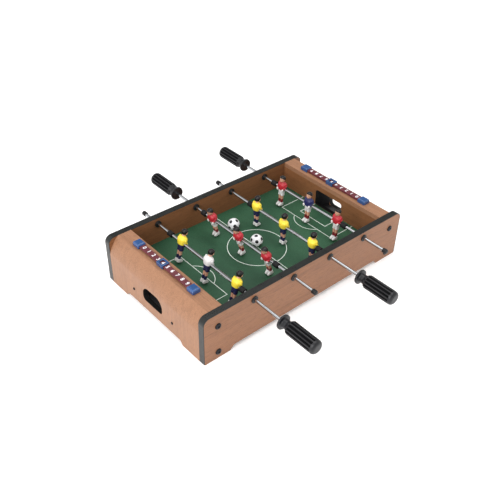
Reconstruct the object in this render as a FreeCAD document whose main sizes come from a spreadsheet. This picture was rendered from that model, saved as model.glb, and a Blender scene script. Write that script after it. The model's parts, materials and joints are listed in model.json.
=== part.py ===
"""Mini tabletop foosball table: an open wooden cabinet with four player rods.

Frame: origin on the surface the table stands on, under the middle of the cabinet.
+X runs along the table's length, +Y along the rods (away from the front panel), +Z up.
All sizes are in millimetres and are driven by the spreadsheet Dims.
"""
import FreeCAD, Part
import math
import os
import re

import Sketcher
from FreeCAD import Placement, Rotation, Vector

DIMENSIONS = {
    # cabinet
    "cabinet_length": 508.0,
    "cabinet_width": 307.0,
    "cabinet_height": 104.0,
    "panel_thickness": 14.0,
    "panel_corner": 14.0,
    "band_thickness": 1.2,
    "band_bottom": 1.0,
    "foot_inner_x": 196.0,
    "foot_slope": 9.0,
    "foot_height": 9.5,
    "end_foot_inner_y": 90.0,
    "end_foot_slope": 7.0,
    "end_foot_height": 8.5,
    # hollow ends with the goals
    "goal_face_x": 203.4,
    "goal_wall_thickness": 10.0,
    "goal_wall_bottom": 30.0,
    "end_wall_thickness": 10.0,
    "shoulder_x": 233.0,
    "shoulder_bottom": 70.0,
    "shoulder_radius": 68.0,
    "shoulder_inner_bottom": 68.0,
    "top_plate_thickness": 10.0,
    "mouth_half_width": 37.5,
    "mouth_top": 83.0,
    "mouth_corner": 6.0,
    "exit_half_width": 30.0,
    "exit_bottom": 30.0,
    "exit_top": 62.5,
    "exit_top_corner": 18.0,
    "exit_bottom_corner": 8.0,
    "chute_wall": 2.5,
    "chute_sill_drop": 4.0,
    "ear_half_span": 66.0,
    "ear_bottom": 25.0,
    "ear_top": 42.0,
    "block_depth": 20.0,
    "block_bottom": 9.0,
    # playing field
    "field_top": 45.75,
    "field_thickness": 4.0,
    "groove_depth": 4.0,
    "groove_gap": 0.1,
    # panel bolts, their threaded inserts and the chute screws
    "bolt_offset_x": 223.0,
    "bolt_low": 15.4,
    "bolt_high": 76.2,
    "bolt_diameter": 4.8,
    "bolt_length": 33.0,
    "bolt_head_diameter": 12.5,
    "bolt_head_height": 2.6,
    "bolt_socket": 4.0,
    "bolt_socket_depth": 1.8,
    "bolt_hole": 5.4,
    "insert_diameter": 8.0,
    "insert_length": 12.0,
    "screw_offset_y": 61.0,
    "screw_height": 33.8,
    "screw_diameter": 3.0,
    "screw_hole": 3.4,
    "screw_length": 15.0,
    "screw_head_diameter": 6.0,
    "screw_head_height": 1.6,
    # rods and their bushings
    "rod_pitch": 94.5,
    "rod_height": 90.4,
    "rod_diameter": 6.35,
    "running_gap": 0.05,
    "rod_hole": 10.0,
    "sleeve_diameter": 9.8,
    "flange_diameter": 14.5,
    "flange_thickness": 2.5,
    "nut_thickness": 3.0,
    "bumper_diameter": 11.5,
    "bumper_length": 12.0,
    "cap_distance": 208.0,
    "cap_diameter": 9.8,
    "cap_length": 10.0,
    "cap_rim": 0.8,
    "cap_dome": 2.0,
    "cap_grip": 8.0,
    # handles
    "handle_distance": 202.5,
    "handle_length": 83.5,
    "handle_flange_diameter": 29.0,
    "handle_flange_thickness": 4.4,
    "handle_flange_edge": 1.2,
    "handle_flange_draft": 0.8,
    "handle_neck_diameter": 17.5,
    "handle_neck_end": 14.5,
    "handle_shoulder_end": 20.5,
    "handle_shoulder_edge": 0.7,
    "grip_diameter": 27.0,
    "grip_end": 79.3,
    "grip_nose_diameter": 22.0,
    "grip_nose_edge": 1.6,
    "flute_count": 12.0,
    "flute_diameter": 5.2,
    "flute_lift": 0.6,
    "flute_start": 17.5,
    "flute_end": 73.0,
    "handle_socket": 58.0,
    # players, measured from the rod's axis
    "player_pitch": 81.4,
    "head_top": 29.4,
    "head_diameter": 10.6,
    "head_forward": 2.0,
    "neck_diameter": 5.4,
    "shoulder_level": 17.5,
    "chest_level": 12.0,
    "chest_width": 21.5,
    "shoulder_top_width": 14.0,
    "shoulder_top_depth": 8.5,
    "chest_depth": 13.6,
    "belly_level": 3.0,
    "belly_width": 18.0,
    "belly_depth": 13.4,
    "waist_level": -5.0,
    "waist_width": 14.5,
    "waist_depth": 12.0,
    "shorts_level": -16.0,
    "shorts_width": 13.0,
    "shorts_depth": 10.0,
    "boot_level": -33.5,
    "sole_level": -40.2,
    "thigh_width": 12.0,
    "thigh_depth": 8.5,
    "leg_width": 10.4,
    "leg_depth": 6.4,
    "boot_width": 12.4,
    "boot_corner": 3.0,
    "boot_heel": 4.6,
    "boot_toe": 8.8,
    "pin_diameter": 2.0,
    "pin_length": 8.0,
    # score counters
    "rail_offset_x": 219.0,
    "rail_offset_y": 2.4,
    "rail_half_length": 74.5,
    "rail_base_width": 9.0,
    "rail_base_height": 2.4,
    "rail_width": 12.4,
    "rail_height": 5.6,
    "score_pitch": 14.7,
    "marker_length": 19.0,
    "marker_width": 16.6,
    "marker_height": 8.4,
    "marker_gap": 0.25,
    "marker_window_length": 10.5,
    "marker_window_width": 9.4,
    "marker_lip": 1.1,
    "stop_length": 19.0,
    "stop_width": 17.0,
    "stop_height": 9.4,
    "stop_chamfer": 2.0,
    # balls
    "ball_diameter": 25.4,
    "ball_x": 3.0,
    "ball_gap": 0.05,
}

# One entry per rod, from the left end. place is its place along the table in rod pitches, slid
# how far its players have slid towards +Y, handle the end that its handle is on (-1 front, 1 rear),
# facing the way its players face (1 towards +X), lean their tilt in degrees, and bumpers the
# places of its two rubber rings.
RODS = [
    {"place": -1.5, "slid": -22.6, "handle": -1, "facing": 1, "lean": 17.0, "bumpers": (-121.8, 95)},
    {"place": -0.5, "slid": 1.1, "handle": 1, "facing": -1, "lean": -13.7, "bumpers": (-107, 110)},
    {"place": 0.5, "slid": -25.3, "handle": -1, "facing": 1, "lean": 0.8, "bumpers": (-124.5, 75)},
    {"place": 1.5, "slid": -0.5, "handle": 1, "facing": -1, "lean": 4.4, "bumpers": (-101, 105)},
]
PLAYER_NAMES = ("front", "middle", "rear")
BALL_PLACES = {"ball_1": 77.3, "ball_2": 4.9}
MARKED_SCORE = 4
ENDS = {"left": 180.0, "right": 0.0}
SIDES = {"front": 0.0, "rear": 180.0}

doc = FreeCAD.newDocument("FoosballTable")
sheet = doc.addObject("Spreadsheet::Sheet", "Dims")
nodes = []


def fill_sheet():
    for row, (alias, size) in enumerate(DIMENSIONS.items(), 1):
        sheet.set(f"A{row}", alias)
        sheet.set(f"B{row}", str(size))
        sheet.setAlias(f"B{row}", alias)
    doc.recompute()


def bind(expression):
    """The same expression as other objects write it, with each alias taken from the sheet."""
    return re.sub(r"[a-z_]\w*", lambda m: f"Dims.{m[0]}" if m[0] in DIMENSIONS else m[0], str(expression))


def size(expression):
    """The value of an expression written with the sheet's aliases."""
    found = sheet.evalExpression(bind(expression))
    return float(getattr(found, "Value", found))


def set_sizes(thing, **expressions):
    for name, expression in expressions.items():
        thing.setExpression(name, bind(expression))
    return thing


def keep(thing, label):
    thing.Label = label
    nodes.append(thing)
    return thing


def place(thing, x=0, y=0, z=0, axis=Vector(0, 0, 1), angle=0.0):
    """Turns a sub-part about an axis through its own origin, then puts it at x, y, z."""
    thing.Placement = Placement(Vector(0, 0, 0), Rotation(axis, angle))
    for letter, expression in zip("xyz", (x, y, z)):
        thing.setExpression(f"Placement.Base.{letter}", bind(expression))
    return thing


# ---------------------------------------------------------------- PartDesign helpers
def new_body(label):
    return keep(doc.addObject("PartDesign::Body", label), label)


def new_sketch(body, plane, offset=None):
    sketch = body.newObject("Sketcher::SketchObject", f"{body.Name}_sketch")
    origin_plane = next(f for f in body.Origin.OriginFeatures if f.Role == plane)
    sketch.AttachmentSupport = (origin_plane, "")
    sketch.MapMode = "FlatFace"
    if offset is not None:
        sketch.setExpression("AttachmentOffset.Base.z", bind(offset))
    return sketch


class Rules:
    """Collects a sketch's constraints, so that they are added and solved in one go."""

    def __init__(self, sketch):
        self.sketch = sketch
        self.constraints = []
        self.bound = {}

    def add(self, *constraint):
        self.constraints.append(Sketcher.Constraint(*constraint))

    def add_sized(self, name, expression, *constraint):
        self.bound[len(self.constraints)] = (name, expression)
        self.add(*constraint, size(expression))

    def apply(self):
        first = len(self.sketch.Constraints)
        self.sketch.addConstraint(self.constraints)
        for index, (name, expression) in self.bound.items():
            self.sketch.renameConstraint(first + index, name)
            self.sketch.setExpression(f"Constraints.{name}", bind(expression))


def outline(sketch, corners, bulges=None):
    """A closed outline through (x, y, corner radius or None) corners given as expressions.

    bulges maps an edge's number to the radius of the arc that replaces that straight edge.
    Edges beside a rounded corner run along the sketch's own X or Y.
    """
    bulges = bulges or {}
    rules = Rules(sketch)
    count = len(corners)
    points = [Vector(size(c[0]), size(c[1]), 0) for c in corners]
    radii = [size(c[2]) if len(c) > 2 and c[2] is not None else 0.0 for c in corners]
    edges, ends = [], []
    for i in range(count):
        a, b = points[i], points[(i + 1) % count]
        way = (b - a).normalize()
        a, b = a + way * radii[i], b - way * radii[(i + 1) % count]
        if i in bulges:
            edges.append(sketch.addGeometry(bulged_edge(a, b, size(bulges[i]))))
            rules.add_sized(f"bulge_{i}", bulges[i], "Radius", edges[i])
        else:
            edges.append(sketch.addGeometry(Part.LineSegment(a, b)))
        reach = [(sketch.getPoint(edges[i], end) - a).Length for end in (1, 2)]
        ends.append((1, 2) if reach[0] < reach[1] else (2, 1))
    for i in range(count):
        before, after = (edges[i - 1], ends[i - 1][1]), (edges[i], ends[i][0])
        if radii[i]:
            round_corner(sketch, rules, i, corners[i][2], points, radii[i], before, after)
        else:
            rules.add("Coincident", *before, *after)
            rules.add_sized(f"x_{i}", corners[i][0], "DistanceX", -1, 1, *after)
            rules.add_sized(f"y_{i}", corners[i][1], "DistanceY", -1, 1, *after)
    for i in range(count):
        following = (i + 1) % count
        if not radii[i] and not radii[following]:
            continue
        level = abs(points[i].y - points[following].y) < 1e-6
        rules.add("Horizontal" if level else "Vertical", edges[i])
        if radii[i] and radii[following]:
            way, which = ("DistanceY", 1) if level else ("DistanceX", 0)
            rules.add_sized(f"side_{i}", corners[i][which], way, -1, 1, edges[i], ends[i][0])
    rules.apply()


def round_corner(sketch, rules, i, expression, points, radius, before, after):
    """An arc between two edges that meet at a right angle, tangent to both."""
    towards = (points[i - 1] - points[i]).normalize()
    onwards = (points[(i + 1) % len(points)] - points[i]).normalize()
    centre = points[i] + (towards + onwards) * radius
    left_turn = onwards.cross(towards).z > 0
    start, stop = (-onwards, -towards) if left_turn else (-towards, -onwards)
    first = math.atan2(start.y, start.x)
    last = math.atan2(stop.y, stop.x)
    if last < first:
        last += 2 * math.pi
    circle = Part.Circle(centre, Vector(0, 0, 1), radius)
    arc = sketch.addGeometry(Part.ArcOfCircle(circle, first, last))
    arc_in, arc_out = (1, 2) if left_turn else (2, 1)
    rules.add("Tangent", *before, arc, arc_in)
    rules.add("Tangent", arc, arc_out, *after)
    rules.add_sized(f"corner_{i}", expression, "Radius", arc)


def bulged_edge(a, b, radius):
    """An arc from a to b that bulges to the right of the way from a to b."""
    chord = b - a
    half = chord.Length / 2
    side = Vector(chord.y, -chord.x, 0).normalize()
    sagitta = radius - math.sqrt(radius * radius - half * half)
    return Part.Arc(a, (a + b) / 2 + side * sagitta, b)


def circles(sketch, diameter, centres):
    rules = Rules(sketch)
    for i, (x, y) in enumerate(centres):
        circle = Part.Circle(Vector(size(x), size(y), 0), Vector(0, 0, 1), size(diameter) / 2)
        index = sketch.addGeometry(circle)
        rules.add_sized(f"diameter_{i}", diameter, "Diameter", index)
        rules.add_sized(f"centre_x_{i}", x, "DistanceX", -1, 1, index, 3)
        rules.add_sized(f"centre_y_{i}", y, "DistanceY", -1, 1, index, 3)
    rules.apply()


def pad(body, sketch, length, midplane=False, reversed_way=False):
    feature = body.newObject("PartDesign::Pad", f"{body.Name}_pad")
    feature.Profile = sketch
    feature.Midplane = midplane
    feature.Reversed = reversed_way
    set_sizes(feature, Length=length)
    doc.recompute()
    return feature


def pocket(body, sketch, length, midplane=False, reversed_way=False):
    """Cuts a sketch into the body and makes sure that it took material away."""
    before = body.Shape.Volume
    feature = body.newObject("PartDesign::Pocket", f"{body.Name}_pocket")
    feature.Profile = sketch
    feature.Midplane = midplane
    feature.Reversed = reversed_way
    set_sizes(feature, Length=length)
    doc.recompute()
    if body.Shape.Volume > before - 1e-3:
        raise RuntimeError(f"{body.Label}: a pocket cut nothing")
    return feature


def box_corners(x_low, x_high, y_low, y_high, radius_top=None, radius_bottom=None):
    return [
        (x_low, y_low, radius_bottom),
        (x_high, y_low, radius_bottom),
        (x_high, y_high, radius_top),
        (x_low, y_high, radius_top),
    ]


# ---------------------------------------------------------------- Part helpers
def primitive(kind, label, **expressions):
    return set_sizes(doc.addObject(f"Part::{kind}", label), **expressions)


def cylinder(label, diameter, length, x=0, y=0, z=0, axis=Vector(0, 0, 1), angle=0.0):
    shape = primitive("Cylinder", label, Radius=f"({diameter}) / 2", Height=length)
    return place(shape, x, y, z, axis, angle)


def cut(label, base, tool):
    feature = doc.addObject("Part::Cut", label)
    feature.Base, feature.Tool = base, tool
    return feature


def fuse(label, shapes):
    feature = doc.addObject("Part::MultiFuse", label)
    feature.Shapes = shapes
    feature.Refine = True
    return feature


def group(label, shapes):
    """Separate solids kept together in one node."""
    feature = doc.addObject("Part::Compound", label)
    feature.Links = shapes
    return keep(feature, label)


ALONG_Y = {"axis": Vector(1, 0, 0), "angle": -90.0}
AGAINST_Y = {"axis": Vector(1, 0, 0), "angle": 90.0}
ALONG_X = {"axis": Vector(0, 1, 0), "angle": 90.0}


# ---------------------------------------------------------------- cabinet
def panel_profile(inset, bottom):
    """Half-length, top and corner radius of a panel's outline, drawn in from the edge."""
    return {
        "reach": f"cabinet_length / 2 - {inset}",
        "top": f"cabinet_height - {inset}",
        "corner": f"panel_corner - {inset}",
        "bottom": bottom,
    }


def side_panel(side, turn):
    """Long board with two feet, a groove for the field, and holes for the rods and bolts."""
    body = new_body(f"side_panel_{side}")
    edge = panel_profile("band_thickness", "0")
    face = new_sketch(body, "XZ_Plane")
    outline(face, [
        (f"0 - ({edge['reach']})", "0"),
        ("0 - foot_inner_x", "0"),
        ("0 - (foot_inner_x - foot_slope)", "foot_height"),
        ("foot_inner_x - foot_slope", "foot_height"),
        ("foot_inner_x", "0"),
        (edge["reach"], "0"),
        (edge["reach"], edge["top"], edge["corner"]),
        (f"0 - ({edge['reach']})", edge["top"], edge["corner"]),
    ])
    pad(body, face, "panel_thickness", midplane=True)
    holes = new_sketch(body, "XZ_Plane")
    circles(holes, "rod_hole", [(f"rod_pitch * ({rod['place']})", "rod_height") for rod in RODS])
    pocket(body, holes, "panel_thickness", midplane=True)
    bolt_holes = new_sketch(body, "XZ_Plane")
    circles(bolt_holes, "bolt_hole", bolt_centres())
    pocket(body, bolt_holes, "panel_thickness", midplane=True)
    groove = new_sketch(body, "YZ_Plane")
    outline(groove, box_corners(
        "panel_thickness / 2 - groove_depth", "panel_thickness / 2",
        "field_top - field_thickness", "field_top",
    ))
    pocket(body, groove, "2 * goal_face_x", midplane=True)
    away = "cabinet_width / 2 - panel_thickness / 2"
    place(body, y=f"0 - ({away})" if side == "front" else away, angle=turn)


def bolt_centres():
    return [
        (f"{sign} * bolt_offset_x", height)
        for sign in (-1, 1)
        for height in ("bolt_low", "bolt_high")
    ]


def edge_band(side):
    """Thin plastic strip over a panel's two ends and its top."""
    body = new_body(f"edge_band_{side}")
    outer = panel_profile("0", "band_bottom")
    inner = panel_profile("band_thickness", "band_bottom")
    strip = new_sketch(body, "XZ_Plane")
    outline(strip, box_corners(
        f"0 - ({outer['reach']})", outer["reach"], outer["bottom"], outer["top"], outer["corner"],
    ))
    pad(body, strip, "panel_thickness", midplane=True)
    core = new_sketch(body, "XZ_Plane")
    outline(core, box_corners(
        f"0 - ({inner['reach']})", inner["reach"], inner["bottom"], inner["top"], inner["corner"],
    ))
    pocket(body, core, "panel_thickness", midplane=True)
    away = "cabinet_width / 2 - panel_thickness / 2"
    place(body, y=f"0 - ({away})" if side == "front" else away)


def inner_length():
    return "cabinet_width - 2 * panel_thickness"


def end_wall(end, turn):
    """Outer wall of an end: upright, bent over at the shoulder, with the ball's exit hole."""
    body = new_body(f"end_wall_{end}")
    section = new_sketch(body, "XZ_Plane")
    inner_face = "cabinet_length / 2 - end_wall_thickness"
    outline(section, [
        (inner_face, "0"),
        ("cabinet_length / 2", "0"),
        ("cabinet_length / 2", "shoulder_bottom"),
        ("shoulder_x", "cabinet_height"),
        ("shoulder_x", "cabinet_height - top_plate_thickness"),
        (inner_face, "shoulder_inner_bottom"),
    ], bulges={2: "shoulder_radius"})
    pad(body, section, inner_length(), midplane=True)
    recess = new_sketch(body, "YZ_Plane")
    outline(recess, [
        ("0 - end_foot_inner_y", "0"),
        ("end_foot_inner_y", "0"),
        ("end_foot_inner_y - end_foot_slope", "end_foot_height"),
        ("0 - (end_foot_inner_y - end_foot_slope)", "end_foot_height"),
    ])
    pocket(body, recess, "cabinet_length / 2", reversed_way=True)
    exit_hole = new_sketch(body, "YZ_Plane")
    outline(exit_hole, box_corners(
        "0 - exit_half_width", "exit_half_width", "exit_bottom", "exit_top",
        "exit_top_corner", "exit_bottom_corner",
    ))
    pocket(body, exit_hole, "cabinet_length / 2", reversed_way=True)
    screw_holes = new_sketch(body, "YZ_Plane")
    circles(screw_holes, "screw_hole", screw_centres())
    pocket(body, screw_holes, "cabinet_length / 2", reversed_way=True)
    place(body, angle=turn)


def screw_centres():
    return [(f"{sign} * screw_offset_y", "screw_height") for sign in (-1, 1)]


def end_top(end, turn):
    """Flat board over the goal that carries the score counter."""
    body = new_body(f"end_top_{end}")
    section = new_sketch(body, "XZ_Plane")
    outline(section, box_corners(
        "goal_face_x", "shoulder_x", "cabinet_height - top_plate_thickness", "cabinet_height",
    ))
    pad(body, section, inner_length(), midplane=True)
    place(body, angle=turn)


def goal_wall(end, turn):
    """Inner wall at the end of the field, with the goal mouth level with the field."""
    body = new_body(f"goal_wall_{end}")
    section = new_sketch(body, "XZ_Plane")
    outline(section, box_corners(
        "goal_face_x", "goal_face_x + goal_wall_thickness",
        "goal_wall_bottom", "cabinet_height - top_plate_thickness",
    ))
    pad(body, section, inner_length(), midplane=True)
    mouth = new_sketch(body, "YZ_Plane")
    outline(mouth, box_corners(
        "0 - mouth_half_width", "mouth_half_width", "field_top", "mouth_top", "mouth_corner",
    ))
    pocket(body, mouth, "cabinet_length / 2", reversed_way=True)
    place(body, angle=turn)


def goal_chute(end, turn):
    """Tapered plastic funnel from the goal mouth down to the exit hole, with two screw ears."""
    body = new_body(f"goal_chute_{end}")
    start = "goal_face_x + goal_wall_thickness"
    finish = "cabinet_length / 2 - end_wall_thickness"
    for kind, wall in (("AdditiveLoft", "chute_wall"), ("SubtractiveLoft", "0")):
        wide = new_sketch(body, "YZ_Plane", start)
        outline(wide, box_corners(
            f"0 - (mouth_half_width + {wall})", f"mouth_half_width + {wall}",
            f"field_top - chute_sill_drop - {wall}", f"mouth_top + {wall}",
        ))
        narrow = new_sketch(body, "YZ_Plane", finish)
        outline(narrow, box_corners(
            f"0 - (exit_half_width + {wall})", f"exit_half_width + {wall}",
            f"exit_bottom - {wall}", f"exit_top + {wall}",
        ))
        loft = body.newObject(f"PartDesign::{kind}", f"{body.Name}_loft")
        loft.Profile = wide
        loft.Sections = [narrow]
        loft.Ruled = True
        doc.recompute()
    for sign in (-1, 1):
        ear = new_sketch(body, "YZ_Plane", f"{finish} - chute_wall")
        across = sorted(
            (f"{sign} * exit_half_width + {sign} * chute_wall", f"{sign} * ear_half_span"), key=size
        )
        outline(ear, box_corners(*across, "ear_bottom", "ear_top"))
        pad(body, ear, "chute_wall")
    holes = new_sketch(body, "YZ_Plane")
    circles(holes, "screw_diameter", screw_centres())
    pocket(body, holes, "cabinet_length / 2", reversed_way=True)
    place(body, angle=turn)


def playing_field():
    body = new_body("playing_field")
    plan = new_sketch(body, "XY_Plane")
    half_width = "cabinet_width / 2 - panel_thickness + groove_depth - groove_gap"
    outline(plan, box_corners("0 - goal_face_x", "goal_face_x", f"0 - ({half_width})", half_width))
    pad(body, plan, "field_thickness", reversed_way=True)
    place(body, z="field_top")


def corner_blocks():
    """Wooden blocks inside the four corners that the panel bolts pull against."""
    inner_face = "cabinet_length / 2 - end_wall_thickness"
    blocks = []
    for end, turn in ENDS.items():
        for sign in (-1, 1):
            body = doc.addObject("PartDesign::Body", f"corner_block_{end}_{sign + 1}")
            section = new_sketch(body, "XZ_Plane")
            outline(section, [
                ("goal_face_x + goal_wall_thickness", "block_bottom"),
                (inner_face, "block_bottom"),
                (inner_face, "shoulder_inner_bottom"),
                ("shoulder_x", "cabinet_height - top_plate_thickness"),
                ("goal_face_x + goal_wall_thickness", "cabinet_height - top_plate_thickness"),
            ])
            pad(body, section, "block_depth", midplane=True)
            bores = new_sketch(body, "XZ_Plane")
            circles(bores, "insert_diameter", [
                ("bolt_offset_x", "bolt_low"), ("bolt_offset_x", "bolt_high"),
            ])
            pocket(body, bores, "block_depth", midplane=True)
            place(body, y=f"{sign} * ({inner_length()} - block_depth) / 2", angle=turn)
            blocks.append(body)
    group("corner_blocks", blocks)


def at_each_bolt():
    """(sign of the side, x, z) of each panel bolt."""
    for sign in (-1, 1):
        for x, z in bolt_centres():
            yield sign, x, z


def panel_bolts(side):
    """Round-headed bolts with a hex socket, through one panel into the corner blocks."""
    sign = -1 if side == "front" else 1
    inward = ALONG_Y if side == "front" else AGAINST_Y
    outward = AGAINST_Y if side == "front" else ALONG_Y
    face = f"{sign} * cabinet_width / 2"
    bolts = []
    for i, (x, z) in enumerate(bolt_centres()):
        name = f"bolt_{side}_{i}"
        shank = cylinder(f"{name}_shank", "bolt_diameter", "bolt_length", x, face, z, **inward)
        head = cylinder(f"{name}_head", "bolt_head_diameter", "bolt_head_height", x, face, z, **outward)
        socket = primitive(
            "Prism", f"{name}_socket",
            Circumradius="bolt_socket / sqrt(3)", Height="bolt_head_height",
        )
        socket.Polygon = 6
        place(socket, x, f"{face} + {sign} * (bolt_head_height - bolt_socket_depth)", z, **outward)
        bolts.append(cut(name, fuse(f"{name}_whole", [shank, head]), socket))
    group(f"panel_bolts_{side}", bolts)


def threaded_inserts():
    """Brass sleeves in the corner blocks that the bolts screw into."""
    inserts = []
    for i, (sign, x, z) in enumerate(at_each_bolt()):
        way = AGAINST_Y if sign > 0 else ALONG_Y
        y = f"{sign} * ({inner_length()}) / 2"
        body = cylinder(f"insert_{i}_body", "insert_diameter", "insert_length", x, y, z, **way)
        bore = cylinder(f"insert_{i}_bore", "bolt_diameter", "insert_length", x, y, z, **way)
        inserts.append(cut(f"insert_{i}", body, bore))
    group("threaded_inserts", inserts)


def chute_screws():
    screws = []
    for end, sign in (("left", -1), ("right", 1)):
        for i, (y, z) in enumerate(screw_centres()):
            face = f"{sign} * cabinet_length / 2"
            shank = cylinder(
                f"screw_{end}_{i}_shank", "screw_diameter", "screw_length",
                f"{face} - {sign} * screw_length" if sign > 0 else face, y, z, **ALONG_X,
            )
            head = cylinder(
                f"screw_{end}_{i}_head", "screw_head_diameter", "screw_head_height",
                face if sign > 0 else f"{face} - screw_head_height", y, z, **ALONG_X,
            )
            screws.append(fuse(f"screw_{end}_{i}", [shank, head]))
    group("chute_screws", screws)


def rod_bushings(side):
    """Flanged sleeves, pushed through one panel from outside."""
    sign = -1 if side == "front" else 1
    inward = ALONG_Y if side == "front" else AGAINST_Y
    outward = AGAINST_Y if side == "front" else ALONG_Y
    face = f"{sign} * cabinet_width / 2"
    reach = "panel_thickness + nut_thickness"
    bushings = []
    for i, rod in enumerate(RODS, 1):
        x = f"rod_pitch * ({rod['place']})"
        name = f"bushing_{side}_{i}"
        sleeve = cylinder(f"{name}_sleeve", "sleeve_diameter", reach, x, face, "rod_height", **inward)
        flange = cylinder(
            f"{name}_flange", "flange_diameter", "flange_thickness", x, face, "rod_height", **outward
        )
        bore = cylinder(
            f"{name}_bore", "rod_diameter + 2 * running_gap", f"{reach} + flange_thickness",
            x, f"{face} + {sign} * flange_thickness", "rod_height", **inward,
        )
        bushings.append(cut(name, fuse(f"{name}_whole", [sleeve, flange]), bore))
    group(f"rod_bushings_{side}", bushings)


def bushing_nuts():
    """Rings that hold the bushings from inside the cabinet."""
    nuts = []
    for side, sign, way in (("front", -1, ALONG_Y), ("rear", 1, AGAINST_Y)):
        face = f"{sign} * ({inner_length()}) / 2"
        for i, rod in enumerate(RODS, 1):
            x = f"rod_pitch * ({rod['place']})"
            name = f"nut_{side}_{i}"
            where = (x, face, "rod_height")
            ring = cylinder(f"{name}_ring", "flange_diameter", "nut_thickness", *where, **way)
            bore = cylinder(f"{name}_bore", "sleeve_diameter", "nut_thickness", *where, **way)
            nuts.append(cut(name, ring, bore))
    group("bushing_nuts", nuts)


# ---------------------------------------------------------------- rods
def rod_frame(rod):
    """The placement of a rod's own frame: +X the way its players face, +Y away from its handle."""
    facing = Rotation(Vector(0, 0, 1), 0 if rod["facing"] > 0 else 180)
    lean = Rotation(Vector(0, 1, 0), rod["lean"])
    x = size(f"rod_pitch * ({rod['place']})")
    return Placement(Vector(x, rod["slid"], size("rod_height")), lean * facing)


def put_on_rod(thing, rod):
    frame = rod_frame(rod)
    thing.Placement = Placement(Vector(0, 0, 0), frame.Rotation)
    set_sizes(thing, **{
        "Placement.Base.x": f"rod_pitch * ({rod['place']})",
        "Placement.Base.y": str(rod["slid"]),
        "Placement.Base.z": "rod_height",
    })
    return thing


def steel_rod(number, rod):
    """Chromed bar with three cross holes for the player pins."""
    body = new_body(f"rod_{number}")
    section = new_sketch(body, "XZ_Plane", "handle_distance + handle_socket")
    circles(section, "rod_diameter", [("0", "0")])
    length = "handle_distance + handle_socket + cap_distance - cap_length / 2 + cap_grip"
    pad(body, section, length, reversed_way=True)
    pins = new_sketch(body, "YZ_Plane")
    circles(pins, "pin_diameter", [(f"{i} * player_pitch", "0") for i in (-1, 0, 1)])
    pocket(body, pins, "2 * rod_diameter", midplane=True)
    put_on_rod(body, rod)


def player_shape():
    """A simplified footballer round the rod's axis, facing +X, with bores for rod and pin."""
    def ring(level, width, depth):
        ellipse = Part.Wire([Part.Ellipse(Vector(0, 0, level), width / 2, depth / 2).toShape()])
        ellipse.rotate(Vector(0, 0, level), Vector(0, 0, 1), 90)
        return ellipse

    torso = Part.makeLoft([
        ring(size("waist_level"), size("waist_width"), size("waist_depth")),
        ring(size("belly_level"), size("belly_width"), size("belly_depth")),
        ring(size("chest_level"), size("chest_width"), size("chest_depth")),
        ring(size("shoulder_level"), size("shoulder_top_width"), size("shoulder_top_depth")),
    ], True, True)
    shorts = Part.makeLoft([
        ring(size("shorts_level"), size("shorts_width"), size("shorts_depth")),
        ring(size("waist_level"), size("waist_width"), size("waist_depth")),
    ], True, True)
    legs = Part.makeLoft([
        ring(size("boot_level"), size("leg_width"), size("leg_depth")),
        ring(size("shorts_level"), size("thigh_width"), size("thigh_depth")),
    ], True, True)
    boot_length = size("boot_toe + boot_heel")
    boots = Part.makeBox(
        boot_length, size("boot_width"), size("boot_level - sole_level"),
        Vector(-size("boot_heel"), -size("boot_width") / 2, size("sole_level")),
    )
    uprights = [e for e in boots.Edges if abs(e.tangentAt(e.FirstParameter).z) > 0.9]
    boots = boots.makeFillet(size("boot_corner"), uprights)
    head_radius = size("head_diameter") / 2
    head_centre = Vector(size("head_forward"), 0, size("head_top") - head_radius)
    head = Part.makeSphere(head_radius, head_centre)
    neck_foot = Vector(0, 0, size("chest_level"))
    neck = Part.makeCylinder(
        size("neck_diameter") / 2, (head_centre - neck_foot).Length, neck_foot, head_centre - neck_foot
    )
    figure = torso.fuse([shorts, legs, boots, head, neck]).removeSplitter()
    bore_length = 2 * size("chest_width")
    bore = Part.makeCylinder(
        size("rod_diameter") / 2, bore_length, Vector(0, -bore_length / 2, 0), Vector(0, 1, 0)
    )
    pin = Part.makeCylinder(
        size("pin_diameter") / 2, size("pin_length"), Vector(-size("pin_length") / 2, 0, 0),
        Vector(1, 0, 0),
    )
    return figure.cut([bore, pin])


def players(number, rod, shape):
    frame = rod_frame(rod)
    for i, name in zip((-1, 0, 1), PLAYER_NAMES):
        label = f"player_{number}_{name}"
        player = keep(doc.addObject("Part::Feature", label), label)
        player.Shape = shape
        offset = Vector(0, i * size("player_pitch") * rod["facing"], 0)
        player.Placement = Placement(frame.multVec(offset), frame.Rotation)


def player_pins(number, rod):
    """Cross pins that fix the players on the rod."""
    pins = [
        cylinder(
            f"pin_{number}_{i + 1}", "pin_diameter", "pin_length",
            "0 - pin_length / 2", f"{i} * player_pitch", 0, **ALONG_X,
        )
        for i in (-1, 0, 1)
    ]
    put_on_rod(group(f"player_pins_{number}", pins), rod)


def bumpers(number, rod):
    """Rubber rings on the rod that stop it at the panels."""
    rings = []
    x = f"rod_pitch * ({rod['place']})"
    bore_diameter = "rod_diameter + 2 * running_gap"
    for i, y in enumerate(rod["bumpers"]):
        start = f"{y} - bumper_length / 2"
        name = f"bumper_{number}_{i}"
        where = (x, start, "rod_height")
        ring = cylinder(f"{name}_ring", "bumper_diameter", "bumper_length", *where, **ALONG_Y)
        bore = cylinder(f"{name}_bore", bore_diameter, "bumper_length", *where, **ALONG_Y)
        rings.append(cut(name, ring, bore))
    group(f"bumpers_{number}", rings)


def place_at_rod_end(thing, rod, sign, distance):
    """Turns a piece made along +Y so that it points out of the rod's end."""
    thing.Placement = Placement(Vector(0, 0, 0), Rotation(Vector(0, 0, 1), 0 if sign > 0 else 180))
    set_sizes(thing, **{
        "Placement.Base.x": f"rod_pitch * ({rod['place']})",
        "Placement.Base.y": f"{rod['slid']} + {sign} * ({distance})",
        "Placement.Base.z": "rod_height",
    })


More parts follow.
